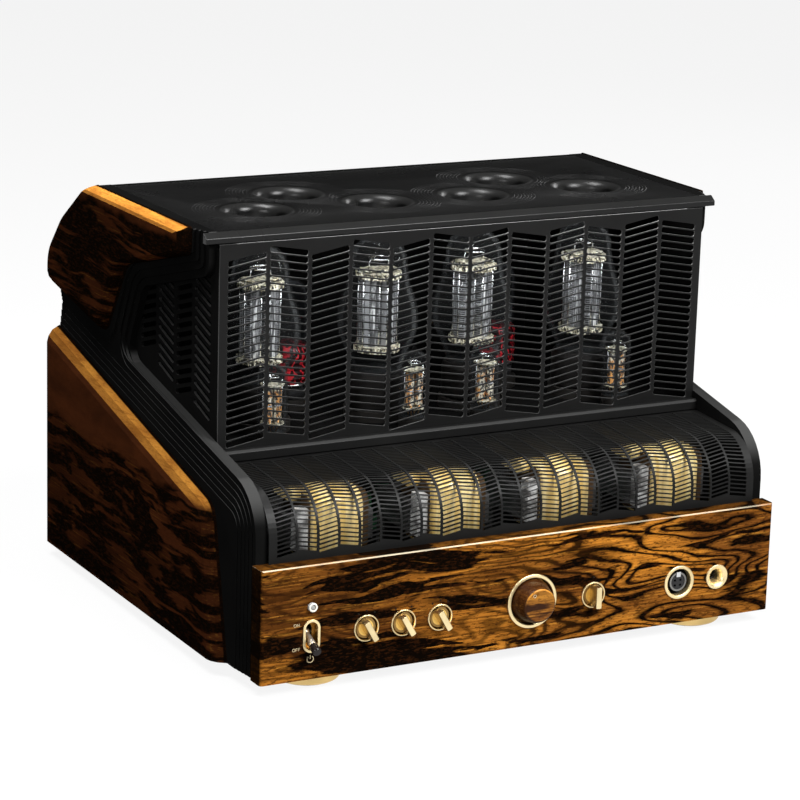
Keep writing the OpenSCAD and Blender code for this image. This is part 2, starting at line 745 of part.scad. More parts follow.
// Small control: a disc with a raised grip across it, and its shaft.
module small_knob(x, a) {
    translate([x, 0, control_z]) rotate([0, a, 0])
        union() {
            rod(0, 0, knob_r, 0.5, cup_back - 1.4);
            intersection() {
                rod(0, 0, cup_in_r - 0.5, -grip_reach - 1, 1);
                translate([0, 0, -cup_r]) linear_extrude(2 * cup_r)
                    polygon([[-2.7, 0.6], [-2.2, 0.6 - grip_reach], [-1.7, -grip_reach], [1.7, -grip_reach],
                        [2.2, 0.6 - grip_reach], [2.7, 0.6]]);
            }
            rod(0, 0, shaft_r, cup_back - 1.5, 30);
        }
}
module selector_knob_1() {
    color([0.88, 0.75, 0.48]) place() small_knob(selector_x, selector_turn);
}
module selector_knob_2() {
    color([0.88, 0.75, 0.48]) place() small_knob(selector_x + selector_step, selector_turn);
}
module selector_knob_3() {
    color([0.88, 0.75, 0.48]) place() small_knob(selector_x + 2 * selector_step, selector_turn);
}
module balance_knob() {
    color([0.88, 0.75, 0.48]) place() small_knob(balance_x, 0);
}
module selector_switches() {
    color([0.3, 0.3, 0.32]) place()
        selector_centres()
            difference() {
                union() {
                    rod(0, 0, bush_r + 1.6, cup_back + 1.5, sub_y);
                    block(-11, 11, sub_y, 34, -11, 11);
                }
                rod(0, 0, bush_r, cup_back + 1, 31);
            }
}

// Power toggle: a lever with a dark tip on a cross pin, in a switch body behind the panel.
tip_len = 7.5;
module power_toggle() {
    color([0.9, 0.88, 0.82]) place()
        translate([toggle_x, pivot_y, control_z])
            union() {
                sphere(r = 3.6);
                translate([-5.8, 0, 0]) rotate([0, 90, 0]) cylinder(r = 1, h = 11.6);
                rotate([90 + lever_tilt, 0, 0]) cylinder(r1 = 2.2, r2 = 2.7, h = lever_len - tip_len);
            }
}
module toggle_tip() {
    color([0.06, 0.06, 0.06]) place()
        translate([toggle_x, pivot_y, control_z])
            rotate([90 + lever_tilt, 0, 0])
                translate([0, 0, lever_len - tip_len])
                    rotate_extrude()
                        polygon([[0, 0], [2.7, 0], [3.1, 0.8], [3.5, tip_len - 1], [3, tip_len],
                            [0, tip_len]]);
}
module toggle_switch() {
    color([0.25, 0.25, 0.27]) place()
        difference() {
            union() {
                through(7.5, sub_y) toggle_outline(22, 12);
                block(toggle_x - 8, toggle_x + 8, sub_y, 38, control_z - 14, control_z + 14);
            }
            block(toggle_x - 4.2, toggle_x + 4.2, 7, 16, control_z - 8, control_z + 8);
            translate([toggle_x - 7, pivot_y, control_z])
                rotate([0, 90, 0]) cylinder(r = 1 + run_gap, h = 14);
        }
}

// Round four-pole socket: a tube with a centre core, a metal sleeve on the core, and a release tab.
core_r = 6;
sleeve_r = 7.4;
tab_w = 3.6;

module tab_notch() {
    block(xlr_x - tab_w / 2 - 0.35, xlr_x + tab_w / 2 + 0.35, 0, 12, control_z + 3.4, control_z + 9);
}
module xlr_socket() {
    color([0.07, 0.07, 0.07]) place()
        difference() {
            union() {
                difference() {
                    rod(xlr_x, control_z, xlr_tube_r, xlr_back, 30);
                    rod(xlr_x, control_z, xlr_r, xlr_back - 1, 16);
                }
                rod(xlr_x, control_z, core_r, 1.5, 17);
            }
            tab_notch();
            for (a = [45:90:315])
                rod(xlr_x + 3.4 * cos(a), control_z - 1 + 2.8 * sin(a), 1.1, 0, 11);
            rod(xlr_x, control_z + 4.9, 0.9 + run_gap, 11, 24);
        }
}
module xlr_ring() {
    color([0.8, 0.8, 0.8]) place()
        difference() {
            rod(xlr_x, control_z, sleeve_r, 1, 16);
            rod(xlr_x, control_z, core_r, 0, 17);
            tab_notch();
        }
}
module xlr_latch() {
    color([0.85, 0.85, 0.85]) place()
        union() {
            block(xlr_x - tab_w / 2, xlr_x + tab_w / 2, 0.6, 8, control_z + 3.8, control_z + 7.6);
            rod(xlr_x, control_z + 4.9, 0.9, 7.5, 21);
        }
}

module jack_socket() {
    color([0.06, 0.06, 0.06]) place()
        difference() {
            union() {
                rod(jack_x, control_z, jack_body_r, jack_back, sub_y);
                block(jack_x - 10, jack_x + 10, sub_y, 46, control_z - 10, control_z + 10);
            }
            rod(jack_x, control_z, jack_r, jack_back - 1, 43);
        }
}

// Valves on the deck: bulbs are open at the foot and stand on their bases.
socket_t = 8;
power_base_z = deck_z + 36;
small_base_z = deck_z + socket_t;
driver_base_z = deck_z + 50;

module power_centres() {
    both() for (x = power_x) translate([x, power_y, 0]) children();
}
module small_centres() {
    both() for (x = small_x) translate([x, small_y, 0]) children();
}
module driver_centres() {
    both() translate([vent_back_x, driver_y, 0]) children();
}

bulb = [[19.2, 0], [20, 6], [24, 16], [29, 27], [30.5, 34], [30.5, 45], [28.5, 55], [24.5, 66], [22, 78],
    [21, 88], [18.5, 95], [13, 100.5], [6.5, 103]];

module power_tube_bulbs() {
    color([0.8, 0.85, 0.9, 0.35]) place()
        power_centres() translate([0, 0, power_base_z])
            rotate_extrude()
                polygon(concat(bulb, [[0, 103.6], [0, 102.4]],
                    [for (i = [len(bulb) - 1:-1:0]) [bulb[i][0] - 1.2, i == 0 ? 0 : bulb[i][1] - 1]]));
}
// plates between two discs, on a glass stem
stem_h = 14;
mica_r = 17;
mica_t = 1.6;
plate_w = 30;
plate_d = 14;
plate_h = 58;

module power_tube_cores() {
    color([0.45, 0.45, 0.46]) place()
        power_centres() translate([0, 0, power_base_z])
            union() {
                cylinder(r = 9, h = stem_h);
                translate([0, 0, stem_h]) cylinder(r = mica_r, h = mica_t);
                translate([-plate_w / 2, -plate_d / 2, stem_h + mica_t]) cube([plate_w, plate_d, plate_h]);
                translate([0, 0, stem_h + mica_t + plate_h]) cylinder(r = mica_r, h = mica_t);
            }
}
module power_tube_bases() {
    color([0.1, 0.08, 0.07]) place()
        power_centres() translate([0, 0, deck_z + socket_t])
            rotate_extrude()
                polygon([[0, 0], [20, 0], [22, 2], [22, 24], [20.5, 28], [0, 28]]);
}
module tube_sockets() {
    color([0.75, 0.73, 0.68]) place()
        union() {
            power_centres() translate([0, 0, deck_z]) cylinder(r = 24, h = socket_t);
            small_centres() translate([0, 0, deck_z]) cylinder(r = 10.5, h = socket_t);
            driver_centres() translate([0, 0, deck_z]) cylinder(r = 18, h = socket_t);
        }
}
module small_tube_bulbs() {
    color([0.8, 0.85, 0.9, 0.35]) place()
        small_centres() translate([0, 0, small_base_z])
            rotate_extrude()
                polygon([[10, 0], [11, 1.5], [11, 44], [10, 47.5], [6, 50], [2, 51.5], [1.2, 54], [0, 54.4],
                    [0, 51], [5.4, 49], [9.1, 46.8], [10, 43.8], [10, 2], [9, 0]]);
}
module small_tube_cores() {
    color([0.5, 0.5, 0.5]) place()
        small_centres() translate([0, 0, small_base_z])
            union() {
                cylinder(r = 4, h = 6);
                translate([0, 0, 6]) cylinder(r = 8.6, h = 1);
                translate([0, 0, 7]) cylinder(r = 6.5, h = 30);
                translate([0, 0, 37]) cylinder(r = 8.6, h = 1);
            }
}
module driver_tube_bulbs() {
    color([0.7, 0.72, 0.75, 0.5]) place()
        driver_centres() translate([0, 0, driver_base_z])
            rotate_extrude()
                polygon([[13, 0], [15, 3], [15, 38], [13, 44], [8, 48], [0, 50], [0, 48.8], [7.5, 46.9],
                    [12, 43.3], [13.8, 37.6], [13.8, 3.4], [11.9, 0]]);
}
module driver_tube_bases() {
    color([0.6, 0.08, 0.08]) place()
        driver_centres() translate([0, 0, deck_z + socket_t])
            rotate_extrude()
                polygon([[0, 0], [16, 0], [16.5, 1], [16.5, 40], [15, 42], [0, 42]]);
}

// Output transformers behind the curved grille: a round wound coil on a closed metal core with a stand.
core_h = 22;
core_in_y = coil_y + 10;

module coil_centres() {
    both() for (x = coil_x) translate([x, 0, 0]) children();
}
module output_coils() {
    color([0.85, 0.68, 0.3]) place()
        coil_centres()
            difference() {
                translate([-coil_l / 2, coil_y, coil_z]) rotate([0, 90, 0]) cylinder(r = coil_r, h = coil_l);
                block(-coil_l, coil_l, coil_y - 10, core_in_y, coil_z - core_h / 2, coil_z + core_h / 2);
            }
}
module output_cores() {
    leg = coil_l / 2 + 9;
    rear = coil_y + coil_r + 1;
    color([0.72, 0.72, 0.72]) place()
        coil_centres()
            union() {
                difference() {
                    block(-leg, leg, coil_y - 10, rear + 12, coil_z - core_h / 2, coil_z + core_h / 2);
                    block(-coil_l / 2, coil_l / 2, core_in_y, rear, coil_z - core_h, coil_z + core_h);
                }
                block(-leg, leg, rear, rear + 12, base_t, coil_z - core_h / 2);
            }
}

// Supply and circuit parts on the base plate.
module power_transformer() {
    color([0.12, 0.12, 0.13]) place()
        translate([0, rear_y - toroid_back, base_t])
            union() {
                cylinder(r = toroid_r, h = toroid_h);
                cylinder(r = toroid_r + toroid_rim, h = 4);
                translate([0, 0, toroid_h]) cylinder(r = 14, h = 6);
            }
}
module filter_capacitors() {
    color([0.1, 0.12, 0.2]) place()
        both() for (i = [0:1], k = [0:1])
            translate([cap_in + cap_step * i, rear_y - cap_back - cap_row * k, base_t])
                cylinder(r = cap_r, h = cap_h);
}
module amplifier_board() {
    color([0.1, 0.3, 0.15]) place()
        union() {
            block(-board_w / 2, board_w / 2, board_front, board_back, board_z, board_z + board_t);
            both() for (y = [board_front + 6, board_back - 6])
                translate([board_w / 2 - 8, y, base_t]) cylinder(r = 3, h = board_z - base_t);
            both() for (x = [0.2, 0.41, 0.63], y = [0.3, 0.79])
                translate([board_w / 2 * x, board_front + board_d * y, board_z + board_t])
                    cylinder(r = board_part_r, h = board_part_h);
        }
}

// Connections on the rear panel.
inlet_y = rear_y + rear_t;

module power_inlet() {
    color([0.07, 0.07, 0.07]) place()
        translate([inlet_x, 0, inlet_z])
            union() {
                difference() {
                    union() {
                        block(-25, 25, inlet_y, inlet_y + 2.5, -12, 12);
                        block(-13.8, 13.8, inlet_y - 22, inlet_y, -10, 10);
                    }
                    block(-12.2, 12.2, inlet_y - 18, inlet_y + 3, -8, 8);
                }
                for (p = [[-7, -2.5], [7, -2.5], [0, 3]])
                    block(p[0] - 1, p[0] + 1, inlet_y - 19, inlet_y - 6, p[1] - 2, p[1] + 2);
            }
}
module line_inputs() {
    color([0.85, 0.72, 0.45]) place()
        union() {
            for (x = input_x)
                difference() {
                    union() {
                        rod(x, control_z, 5.5, inlet_y, inlet_y + 2);
                        rod(x, control_z, 4.15, inlet_y, back_y - 0.5);
                        rod(x, control_z, 3.6, rear_y - 6, inlet_y);
                    }
                    rod(x, control_z, 1.65, inlet_y, back_y);
                }
            for (x = balanced_x)
                difference() {
                    union() {
                        block(x - 13, x + 13, inlet_y, inlet_y + 2, control_z - 15.5, control_z + 15.5);
                        rod(x, control_z, 11.3, rear_y - 16, inlet_y);
                    }
                    difference() {
                        rod(x, control_z, xlr_r - 0.4, rear_y - 10, inlet_y + 3);
                        rod(x, control_z, sleeve_r, rear_y - 11, inlet_y - 1);
                    }
                    for (a = [30:120:270])
                        rod(x + 3.8 * cos(a), control_z + 3.8 * sin(a), 1.2, rear_y - 8, inlet_y);
                }
        }
}

module panel_screws() {
    color([0.3, 0.3, 0.3]) place()
        union() {
            both() for (z = [8, rear_h / 2, rear_h - 8])
                rod(in_w - 8, z, 2.8, inlet_y, inlet_y + 1.8);
            both() for (x = [foot_x - 60, foot_x + 30], y = [60, rear_y - 20])
                translate([x, y, -1.6]) cylinder(r = 3.2, h = 1.6);
        }
}

front_panel();
front_subpanel();
side_plate_left();
side_plate_right();
lower_wood_left();
lower_wood_right();
upper_wood_left();
upper_wood_right();
side_vent_left();
side_vent_right();
side_screen_left();
side_screen_right();
top_plate();
upper_grille();
ledge_bar();
curved_grille();
rear_cover();
rear_panel();
base_plate();
tube_deck();
deck_posts();
feet();
foot_pads();
volume_bezel();
selector_bezels();
toggle_bezel();
xlr_bezel();
jack_bezel();
status_lamp();
volume_knob();
volume_shaft();
volume_pot();
selector_knob_1();
selector_knob_2();
selector_knob_3();
balance_knob();
selector_switches();
power_toggle();
toggle_tip();
toggle_switch();
xlr_socket();
xlr_ring();
xlr_latch();
jack_socket();
power_tube_bulbs();
power_tube_cores();
power_tube_bases();
tube_sockets();
small_tube_bulbs();
small_tube_cores();
driver_tube_bulbs();
driver_tube_bases();
output_coils();
output_cores();
power_transformer();
filter_capacitors();
amplifier_board();
power_inlet();
line_inputs();
panel_screws();
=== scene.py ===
"""Looks of a full-size valve headphone amplifier: finishes, small details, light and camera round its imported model.

Lengths in the helpers are millimetres, counted as on the object: X from the middle, depth from the face of the front
panel and height from the panel's bottom edge. What reaches Blender is in metres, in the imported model's frame.
"""
import math

import bmesh
import bpy
from mathutils import Matrix, Vector

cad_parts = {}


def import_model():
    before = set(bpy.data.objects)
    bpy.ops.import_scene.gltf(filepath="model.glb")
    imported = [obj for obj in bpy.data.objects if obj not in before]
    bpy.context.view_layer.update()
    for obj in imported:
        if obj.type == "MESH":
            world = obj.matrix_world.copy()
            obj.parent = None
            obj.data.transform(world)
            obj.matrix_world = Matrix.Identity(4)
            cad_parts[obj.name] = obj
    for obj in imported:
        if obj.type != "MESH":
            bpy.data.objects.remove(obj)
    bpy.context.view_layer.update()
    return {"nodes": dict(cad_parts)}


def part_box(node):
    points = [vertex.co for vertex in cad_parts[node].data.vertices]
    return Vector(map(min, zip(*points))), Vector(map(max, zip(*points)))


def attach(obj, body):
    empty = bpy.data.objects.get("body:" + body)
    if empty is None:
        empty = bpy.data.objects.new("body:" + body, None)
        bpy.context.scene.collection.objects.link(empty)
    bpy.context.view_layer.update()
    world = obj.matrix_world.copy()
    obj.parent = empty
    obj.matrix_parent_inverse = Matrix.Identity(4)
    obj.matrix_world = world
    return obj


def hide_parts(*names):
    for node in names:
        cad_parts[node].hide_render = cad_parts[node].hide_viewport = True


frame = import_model()
nodes = frame["nodes"]

MM = 0.001
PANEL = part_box("front_panel")[0]


def at(x, y, z):
    """A point in the model's frame, from millimetres on the object."""
    return Vector((x * MM, PANEL.y + y * MM, PANEL.z + z * MM))


# Places and sizes that the details share with the solids
CONTROL_Z = 32.2
SELECTOR_X = (-131.8, -102.0, -72.2)
BALANCE_X = 56.9
VOLUME = (4.4, 34.2)
VOLUME_FRONT = -12.5
VOLUME_TURN = -33.0
POWER_X = (-139.5, -41.0, 41.0, 139.5)
POWER_Y = 166.0
POWER_FOOT = 174.0
SMALL_X = (-148.0, -30.7, 30.7, 148.0)
SMALL_Y = 125.0
SMALL_FOOT = 146.0
DRIVER_X = (-91.0, 91.0)
DRIVER_Y = 216.0
COIL_X = (-142.0, -46.0, 46.0, 142.0)
COIL_Y = 47.5
VENTS = ((41.0, 170.0), (141.0, 170.0), (91.0, 220.0))

# In metres: inner face of the wooden side blocks; pitch of the turned grooves round the vents, and the radii between
# which they start and fade out
BLOCK_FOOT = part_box("upper_wood_right")[0].x
GROOVE_PITCH = 0.0026
GROOVE_START = (0.0300, 0.0305)
GROOVE_END = (0.0495, 0.0488)

# Numbers of a Mix node's sockets for colours
MIX_A, MIX_B, MIX_RESULT = 6, 7, 2


# Materials

class Shader:
    """A procedural material, with short calls for the nodes that feed its surface."""

    def __init__(self, name, **surface):
        self.material = bpy.data.materials.new(name)
        self.material.use_nodes = True
        self.tree = self.material.node_tree
        self.surface = self.tree.nodes["Principled BSDF"]
        self.output = self.tree.nodes["Material Output"]
        for socket, value in surface.items():
            self.surface.inputs[socket.replace("_", " ")].default_value = value

    def add(self, kind, inputs=(), **settings):
        node = self.tree.nodes.new("ShaderNode" + kind)
        for key, value in settings.items():
            setattr(node, key, value)
        for key, value in dict(inputs).items():
            self.feed(node.inputs[key], value)
        return node

    def feed(self, socket, value):
        if isinstance(value, bpy.types.NodeSocket):
            self.tree.links.new(value, socket)
        else:
            socket.default_value = value

    def drive(self, name, value):
        """Feeds a socket of the surface from a node."""
        self.feed(self.surface.inputs[name], value)

    def place(self):
        """Object coordinates, in metres of the model's frame."""
        return self.add("TexCoord").outputs["Object"]

    def facing(self):
        """The surface's direction: sideways, backwards and upwards."""
        return self.split(self.add("NewGeometry").outputs["Normal"])

    def split(self, vector):
        return self.add("SeparateXYZ", {"Vector": vector}).outputs

    def join(self, x, y, z):
        return self.add("CombineXYZ", {"X": x, "Y": y, "Z": z}).outputs[0]

    def calc(self, op, a, b=0.0, c=0.0):
        """One Math node."""
        return self.add("Math", {0: a, 1: b, 2: c}, operation=op).outputs[0]

    def vector(self, op, a, b=(0, 0, 0), c=(0, 0, 0), out=0):
        """One Vector Math node."""
        return self.add("VectorMath", {0: a, 1: b, 2: c}, operation=op).outputs[out]

    def noise(self, vector, scale, detail=2.0, roughness=0.5, colour=False):
        """Noise with its own number of cells a metre along each axis."""
        stretched = self.vector("MULTIPLY", vector, scale)
        node = self.add("TexNoise", {"Vector": stretched, "Scale": 1.0, "Detail": detail, "Roughness": roughness})
        return node.outputs[1 if colour else 0]

    def nearest(self, spot, centres):
        """Distance to the nearest of several points."""
        nearest = None
        for centre in centres:
            away = self.vector("DISTANCE", spot, centre, out=1)
            nearest = away if nearest is None else self.calc("MINIMUM", nearest, away)
        return nearest

    def wave(self, value, pitch):
        """A sine wave along a value."""
        return self.calc("SINE", self.calc("MULTIPLY", value, 2 * math.pi / pitch))

    def step(self, value, low, high, to_low=0.0, to_high=1.0):
        """A smooth step between two values."""
        inputs = {"Value": value, "From Min": low, "From Max": high, "To Min": to_low, "To Max": to_high}
        return self.add("MapRange", inputs, interpolation_type="SMOOTHSTEP").outputs[0]

    def ramp(self, value, *stops):
        """Colours along a value; each stop is (position, colour)."""
        node = self.add("ValToRGB", {0: value})
        ramp = node.color_ramp
        while len(ramp.elements) < len(stops):
            ramp.elements.new(0.5)
        for element, (position, colour) in zip(ramp.elements, stops):
            element.position = position
            element.color = (*colour, 1.0)
        return node.outputs[0]

    def mix(self, share, a, b):
        """Two colours mixed."""
        first, second = ((*tone, 1.0) if isinstance(tone, tuple) else tone for tone in (a, b))
        inputs = {0: share, MIX_A: first, MIX_B: second}
        return self.add("Mix", inputs, data_type="RGBA").outputs[MIX_RESULT]

    def bump(self, height, strength, depth):
        """Relief of a height field that runs from 0 to 1; depth in metres."""
        node = self.add("Bump", {"Strength": strength, "Distance": depth, "Height": height})
        self.drive("Normal", node.outputs[0])


# Colours of the wood, from its black figure to the painted highlight on its lit edge
BLACK_INK = (0.0030, 0.0018, 0.0011)
DARK_BROWN = (0.028, 0.009, 0.0028)
MID_BROWN = (0.150, 0.050, 0.009)
ORANGE = (0.53, 0.195, 0.023)
LIGHT_ORANGE = (0.84, 0.37, 0.050)
RED_BROWN = (0.058, 0.0168, 0.0058)
DULL_RED = (0.032, 0.010, 0.004)
# Painted shade of the side blocks' flat faces
PAINTED_SHADE_RED = (0.046, 0.0130, 0.0048)
PAINTED_SHADE_DARK_RED = (0.019, 0.0058, 0.0026)
SAP_DARK = (0.42, 0.155, 0.025)
SAP = (0.70, 0.30, 0.048)
LIT_EDGE = (1.0, 0.86, 0.62)

# Colours of the gold: outside and on the discs of the small knobs, and the painted shade in the controls' cups and at
# the knobs' sides
PALE_GOLD = (0.98, 0.80, 0.45)
DEEP_GOLD = (0.95, 0.62, 0.17)
CUP_SHADE = (0.40, 0.23, 0.06)
GRIP_SHADE = (0.30, 0.18, 0.06)

# Brush marks or grains a metre along each axis
EVEN_MARKS = (900, 900, 900)
TURNED_MARKS = (400, 90, 400)


class Wood(Shader):
    """Lacquered wood with a black figure on an orange-brown ground; the grain runs along X or Y."""

    def __init__(self, name, grain, shift=0.0, gloss=0.0):
        super().__init__(name, Roughness=0.3, Specular_IOR_Level=gloss)
        self.x, self.y, self.z = self.split(self.place())
        along, aside = (self.x, self.y) if grain == "X" else (self.y, self.x)
        self.spot = self.join(self.calc("ADD", along, shift), aside, self.z)
        bend = self.vector("SUBTRACT", self.noise(self.spot, (10, 10, 24), 2.0, colour=True), (0.5, 0.5, 0.5))
        self.flow = self.vector("MULTIPLY_ADD", bend, (0.055, 0.0, 0.026), self.spot)
        self.ragged = self.noise(self.spot, (80, 160, 380), 3.0, 0.6)
        self.fibre = self.noise(self.spot, (18, 320, 700), 3.0, 0.6)

    def band(self, scale, low, high, detail=3.0, add=None):
        """Dark or pale figure: a flowing noise, ragged at its edges, cut between two levels."""
        field = self.calc("MULTIPLY_ADD", self.ragged, 0.12, self.noise(self.flow, scale, detail, 0.55))
        if add is not None:
            field = self.calc("ADD", field, add)
        return self.step(field, low, high)

    def ground(self, pale, dark, lit=0.45):
        """Two tones in clouds, with paler and darker fibres; lit is the strength of the pale ones."""
        cloud = self.noise(self.flow, (9, 9, 26), 3.0)
        tone = self.mix(self.step(cloud, 0.34, 0.66), pale, dark)
        tone = self.mix(self.step(self.fibre, 0.52, 0.74, 0.0, lit), tone, LIGHT_ORANGE)
        return self.mix(self.step(self.fibre, 0.50, 0.34, 0.0, 0.62), tone, DARK_BROWN)

    def finish(self, colour, flecked=0.74, edge=False):
        """Adds pores, flecks and the lacquer's slight relief; edge adds a painted highlight on the rounded top edge
        and painted shade on the top and the end faces.
        """
        pores = self.step(self.noise(self.spot, (150, 1500, 2300), 1.0), 0.62, 0.70)
        flecks = self.step(self.noise(self.spot, (210, 700, 760), 2.0, 0.65), 0.52, 0.62)
        colour = self.mix(self.calc("MULTIPLY", self.calc("MAXIMUM", pores, flecks), flecked), colour, DARK_BROWN)
        if edge:
            side, _, up = self.facing()
            # Painted shade: the top and the end faces are darkened towards black
            colour = self.mix(self.step(up, 0.80, 0.97, 0.0, 0.72), colour, BLACK_INK)
            colour = self.mix(self.step(self.calc("ABSOLUTE", side), 0.7, 0.9, 0.0, 0.95), colour, BLACK_INK)
            # Painted highlight along the rounded top edge, uneven along its length
            lit = self.calc("MULTIPLY", self.step(up, 0.25, 0.5), self.step(up, 0.95, 0.8))
            uneven = self.step(self.noise(self.spot, (14, 14, 14), 2.0), 0.3, 0.6, 0.12, 0.5)
            colour = self.mix(self.calc("MULTIPLY", lit, uneven), colour, LIT_EDGE)
        self.drive("Base Color", colour)
        self.drive("Roughness", self.step(self.fibre, 0.2, 0.8, 0.24, 0.38))
        self.bump(self.calc("SUBTRACT", self.fibre, pores), 0.12, 0.00015)
        return self.material


def panel_wood(name):
    """Front panel: flowing black lines and loops, which turn into long smears towards the left end."""
    w = Wood(name, "X")
    left = w.step(w.x, 0.075, -0.075)
    field = w.noise(w.flow, (8, 8, 32), 1.4, 0.4)
    ring = w.calc("FRACT", w.calc("MULTIPLY_ADD", w.ragged, 0.34, w.calc("MULTIPLY", field, 18.0)))
    line = w.ramp(ring, (0.0, (1, 1, 1)), (0.18, (1, 1, 1)), (0.27, (0.45, 0.45, 0.45)), (0.48, (0, 0, 0)),
                  (0.76, (0, 0, 0)), (0.90, (0.6, 0.6, 0.6)), (0.97, (1, 1, 1)))
    colour = w.ground(ORANGE, MID_BROWN)
    colour = w.mix(w.calc("MULTIPLY", left, 0.36), colour, w.ground(MID_BROWN, DARK_BROWN))
    colour = w.mix(w.calc("MULTIPLY", line, w.calc("MULTIPLY_ADD", left, -0.45, 1.0)), colour, BLACK_INK)
    colour = w.mix(w.band((9, 9, 48), 0.66, 0.71), colour, BLACK_INK)
    smear = w.band((13, 9, 115), 0.575, 0.605, 2.5, w.calc("MULTIPLY_ADD", left, 0.10, -0.10))
    colour = w.mix(smear, colour, BLACK_INK)
    return w.finish(colour, edge=True)


def knob_wood(name):
    """Volume knob: bright wood with a few dark bands, painted shade on its darker and redder side, and a painted
    highlight on its upper rim.
    """
    w = Wood(name, "X", 0.31, 0.1)
    colour = w.mix(w.band((26, 26, 60), 0.57, 0.66), w.ground(LIGHT_ORANGE, MID_BROWN), DARK_BROWN)
    _, fore, up = w.facing()
    # Painted shade on the side walls
    colour = w.mix(w.step(fore, -0.97, -0.80), colour, w.ground(MID_BROWN, DARK_BROWN, 0.1))
    # Painted highlight in sapwood colour on the upper part of the front rim
    rim = w.calc("MULTIPLY", w.step(fore, -0.99, -0.95), w.step(fore, -0.60, -0.75))
    colour = w.mix(w.calc("MULTIPLY", rim, w.step(up, 0.0, 0.45, 0.0, 0.7)), colour, SAP)
    return w.finish(colour, 0.5)


def side_wood(name, line, patch, streak, tip, pale, shift=0.0):
    """Side block: paler outer wood above a height, and below it black wood with brown islands and thin streaks.

    Painted shade: the flat faces get darker, redder colours than the bevels, and the faces that face the front,
    except those on top, and the front tip keep the dark wood. The joint with the side plate is black. patch and
    streak are the noise scale and cut levels of the islands and the streaks, tip is the depth of the front end, and
    pale scales the outer wood's colour; set lower for the lower block, it paints shade there.
    """
    w = Wood(name, "Y", shift)
    side, fore, up = w.facing()
    # Painted shade: the flat side faces get darker, redder colours than the bevels
    flat = w.step(w.calc("ABSOLUTE", side), 0.72, 0.97)
    brown = w.mix(flat, w.ground(RED_BROWN, DULL_RED, 0.10), w.ground(PAINTED_SHADE_RED, PAINTED_SHADE_DARK_RED, 0.05))
    colour = w.mix(w.band(*patch), BLACK_INK, brown)
    colour = w.mix(w.band(*streak), colour, brown)
    over = w.calc("SUBTRACT", w.z, line + 0.011)
    wander = w.calc("MULTIPLY_ADD", w.noise(w.flow, (22, 22, 60), 3.0), 0.022, over)
    cloud = w.noise(w.flow, (24, 60, 70), 4.0, 0.6)
    # The outer wood's colours are scaled by pale, which paints shade on the lower block
    outer = w.mix(w.step(cloud, 0.30, 0.66), *(tuple(c * pale for c in tone) for tone in (SAP_DARK, SAP)))
    outer = w.mix(w.step(w.fibre, 0.48, 0.34, 0.0, 0.5), outer, MID_BROWN)
    # Painted shade: on the flat faces the outer wood turns to dull reds
    outer = w.mix(flat, outer, w.mix(w.step(cloud, 0.25, 0.72), DULL_RED, RED_BROWN))
    # Painted shade: faces towards the front, except those on top, and the front tip keep the dark wood
    end = w.calc("MULTIPLY", w.step(fore, -0.25, -0.40), w.step(up, 0.35, 0.20))
    end = w.calc("MAXIMUM", end, w.step(w.y, tip + 0.005, tip + 0.003))
    above = w.calc("MULTIPLY", w.step(wander, -0.003, 0.003), w.calc("SUBTRACT", 1.0, end))
    colour = w.mix(above, colour, outer)
    joint = w.step(w.calc("ABSOLUTE", w.x), BLOCK_FOOT + 0.0022, BLOCK_FOOT + 0.0014)
    return w.finish(w.mix(joint, colour, BLACK_INK), w.calc("MULTIPLY_ADD", above, -0.15, 0.35))


def black_metal(name, shade, roughness, gloss, painted_highlight=0.0, rings=False):
    """Matt black coated metal with a fine grain, and optionally fine turned grooves round the top vents.

    Edges and faces that lean back get a lighter shade of their own, as a painted highlight where light catches them.
    """
    s = Shader(name, Specular_IOR_Level=gloss)
    place = s.place()
    grain = s.noise(place, (1600, 1600, 1600), 2.0)
    cloud = s.noise(place, (18, 18, 18), 3.0)
    colour = s.ramp(cloud, (0.3, (shade * 0.8,) * 3), (0.7, (shade * 1.2, shade * 1.2, shade * 1.15)))
    if painted_highlight:
        # Painted highlight on edges and on faces that lean back
        side, _, up = s.facing()
        leaning = s.calc("MULTIPLY", s.step(up, 0.25, 0.75), s.step(up, 0.995, 0.95))
        side = s.calc("ABSOLUTE", side)
        edge = s.calc("MULTIPLY", s.step(side, 0.20, 0.40), s.step(side, 0.96, 0.88))
        colour = s.mix(s.calc("MAXIMUM", leaning, edge), colour, (painted_highlight, painted_highlight, painted_highlight * 0.98))
    s.drive("Base Color", colour)
    s.drive("Roughness", s.step(cloud, 0.3, 0.7, roughness - 0.04, roughness + 0.05))
    if not rings:
        s.bump(grain, 0.10, 0.0001)
        return s.material
    x, y, _ = s.split(place)
    folded = s.join(s.calc("ABSOLUTE", x), y, 0.0)
    centres = [at(vent_x, vent_y, 0) for vent_x, vent_y in VENTS]
    radius = s.nearest(folded, [(centre.x, centre.y, 0.0) for centre in centres])
    groove = s.step(s.wave(radius, GROOVE_PITCH), 0.35, 0.9)
    reach = s.calc("MULTIPLY", s.step(radius, *GROOVE_START), s.step(radius, *GROOVE_END))
    height = s.calc("MULTIPLY_ADD", s.calc("MULTIPLY", groove, reach), -1.0, s.calc("MULTIPLY", grain, 0.08))
    s.bump(height, 0.9, 0.0004)
    return s.material


def behind_face(s, place, start, end):
    """Mask of what lies behind the panel's face; it changes between two depths, in metres."""
    _, y, _ = s.split(place)
    return s.step(y, PANEL.y + start, PANEL.y + end)


def in_pocket(s, place):
    """Mask of the inside of a cup, where it gets painted shade."""
    return behind_face(s, place, -0.0004, 0.0012)


def on_disc(s, place):
    """Mask of a small knob's disc, which lies just behind the panel's face."""
    return behind_face(s, place, 0.0001, 0.0004)


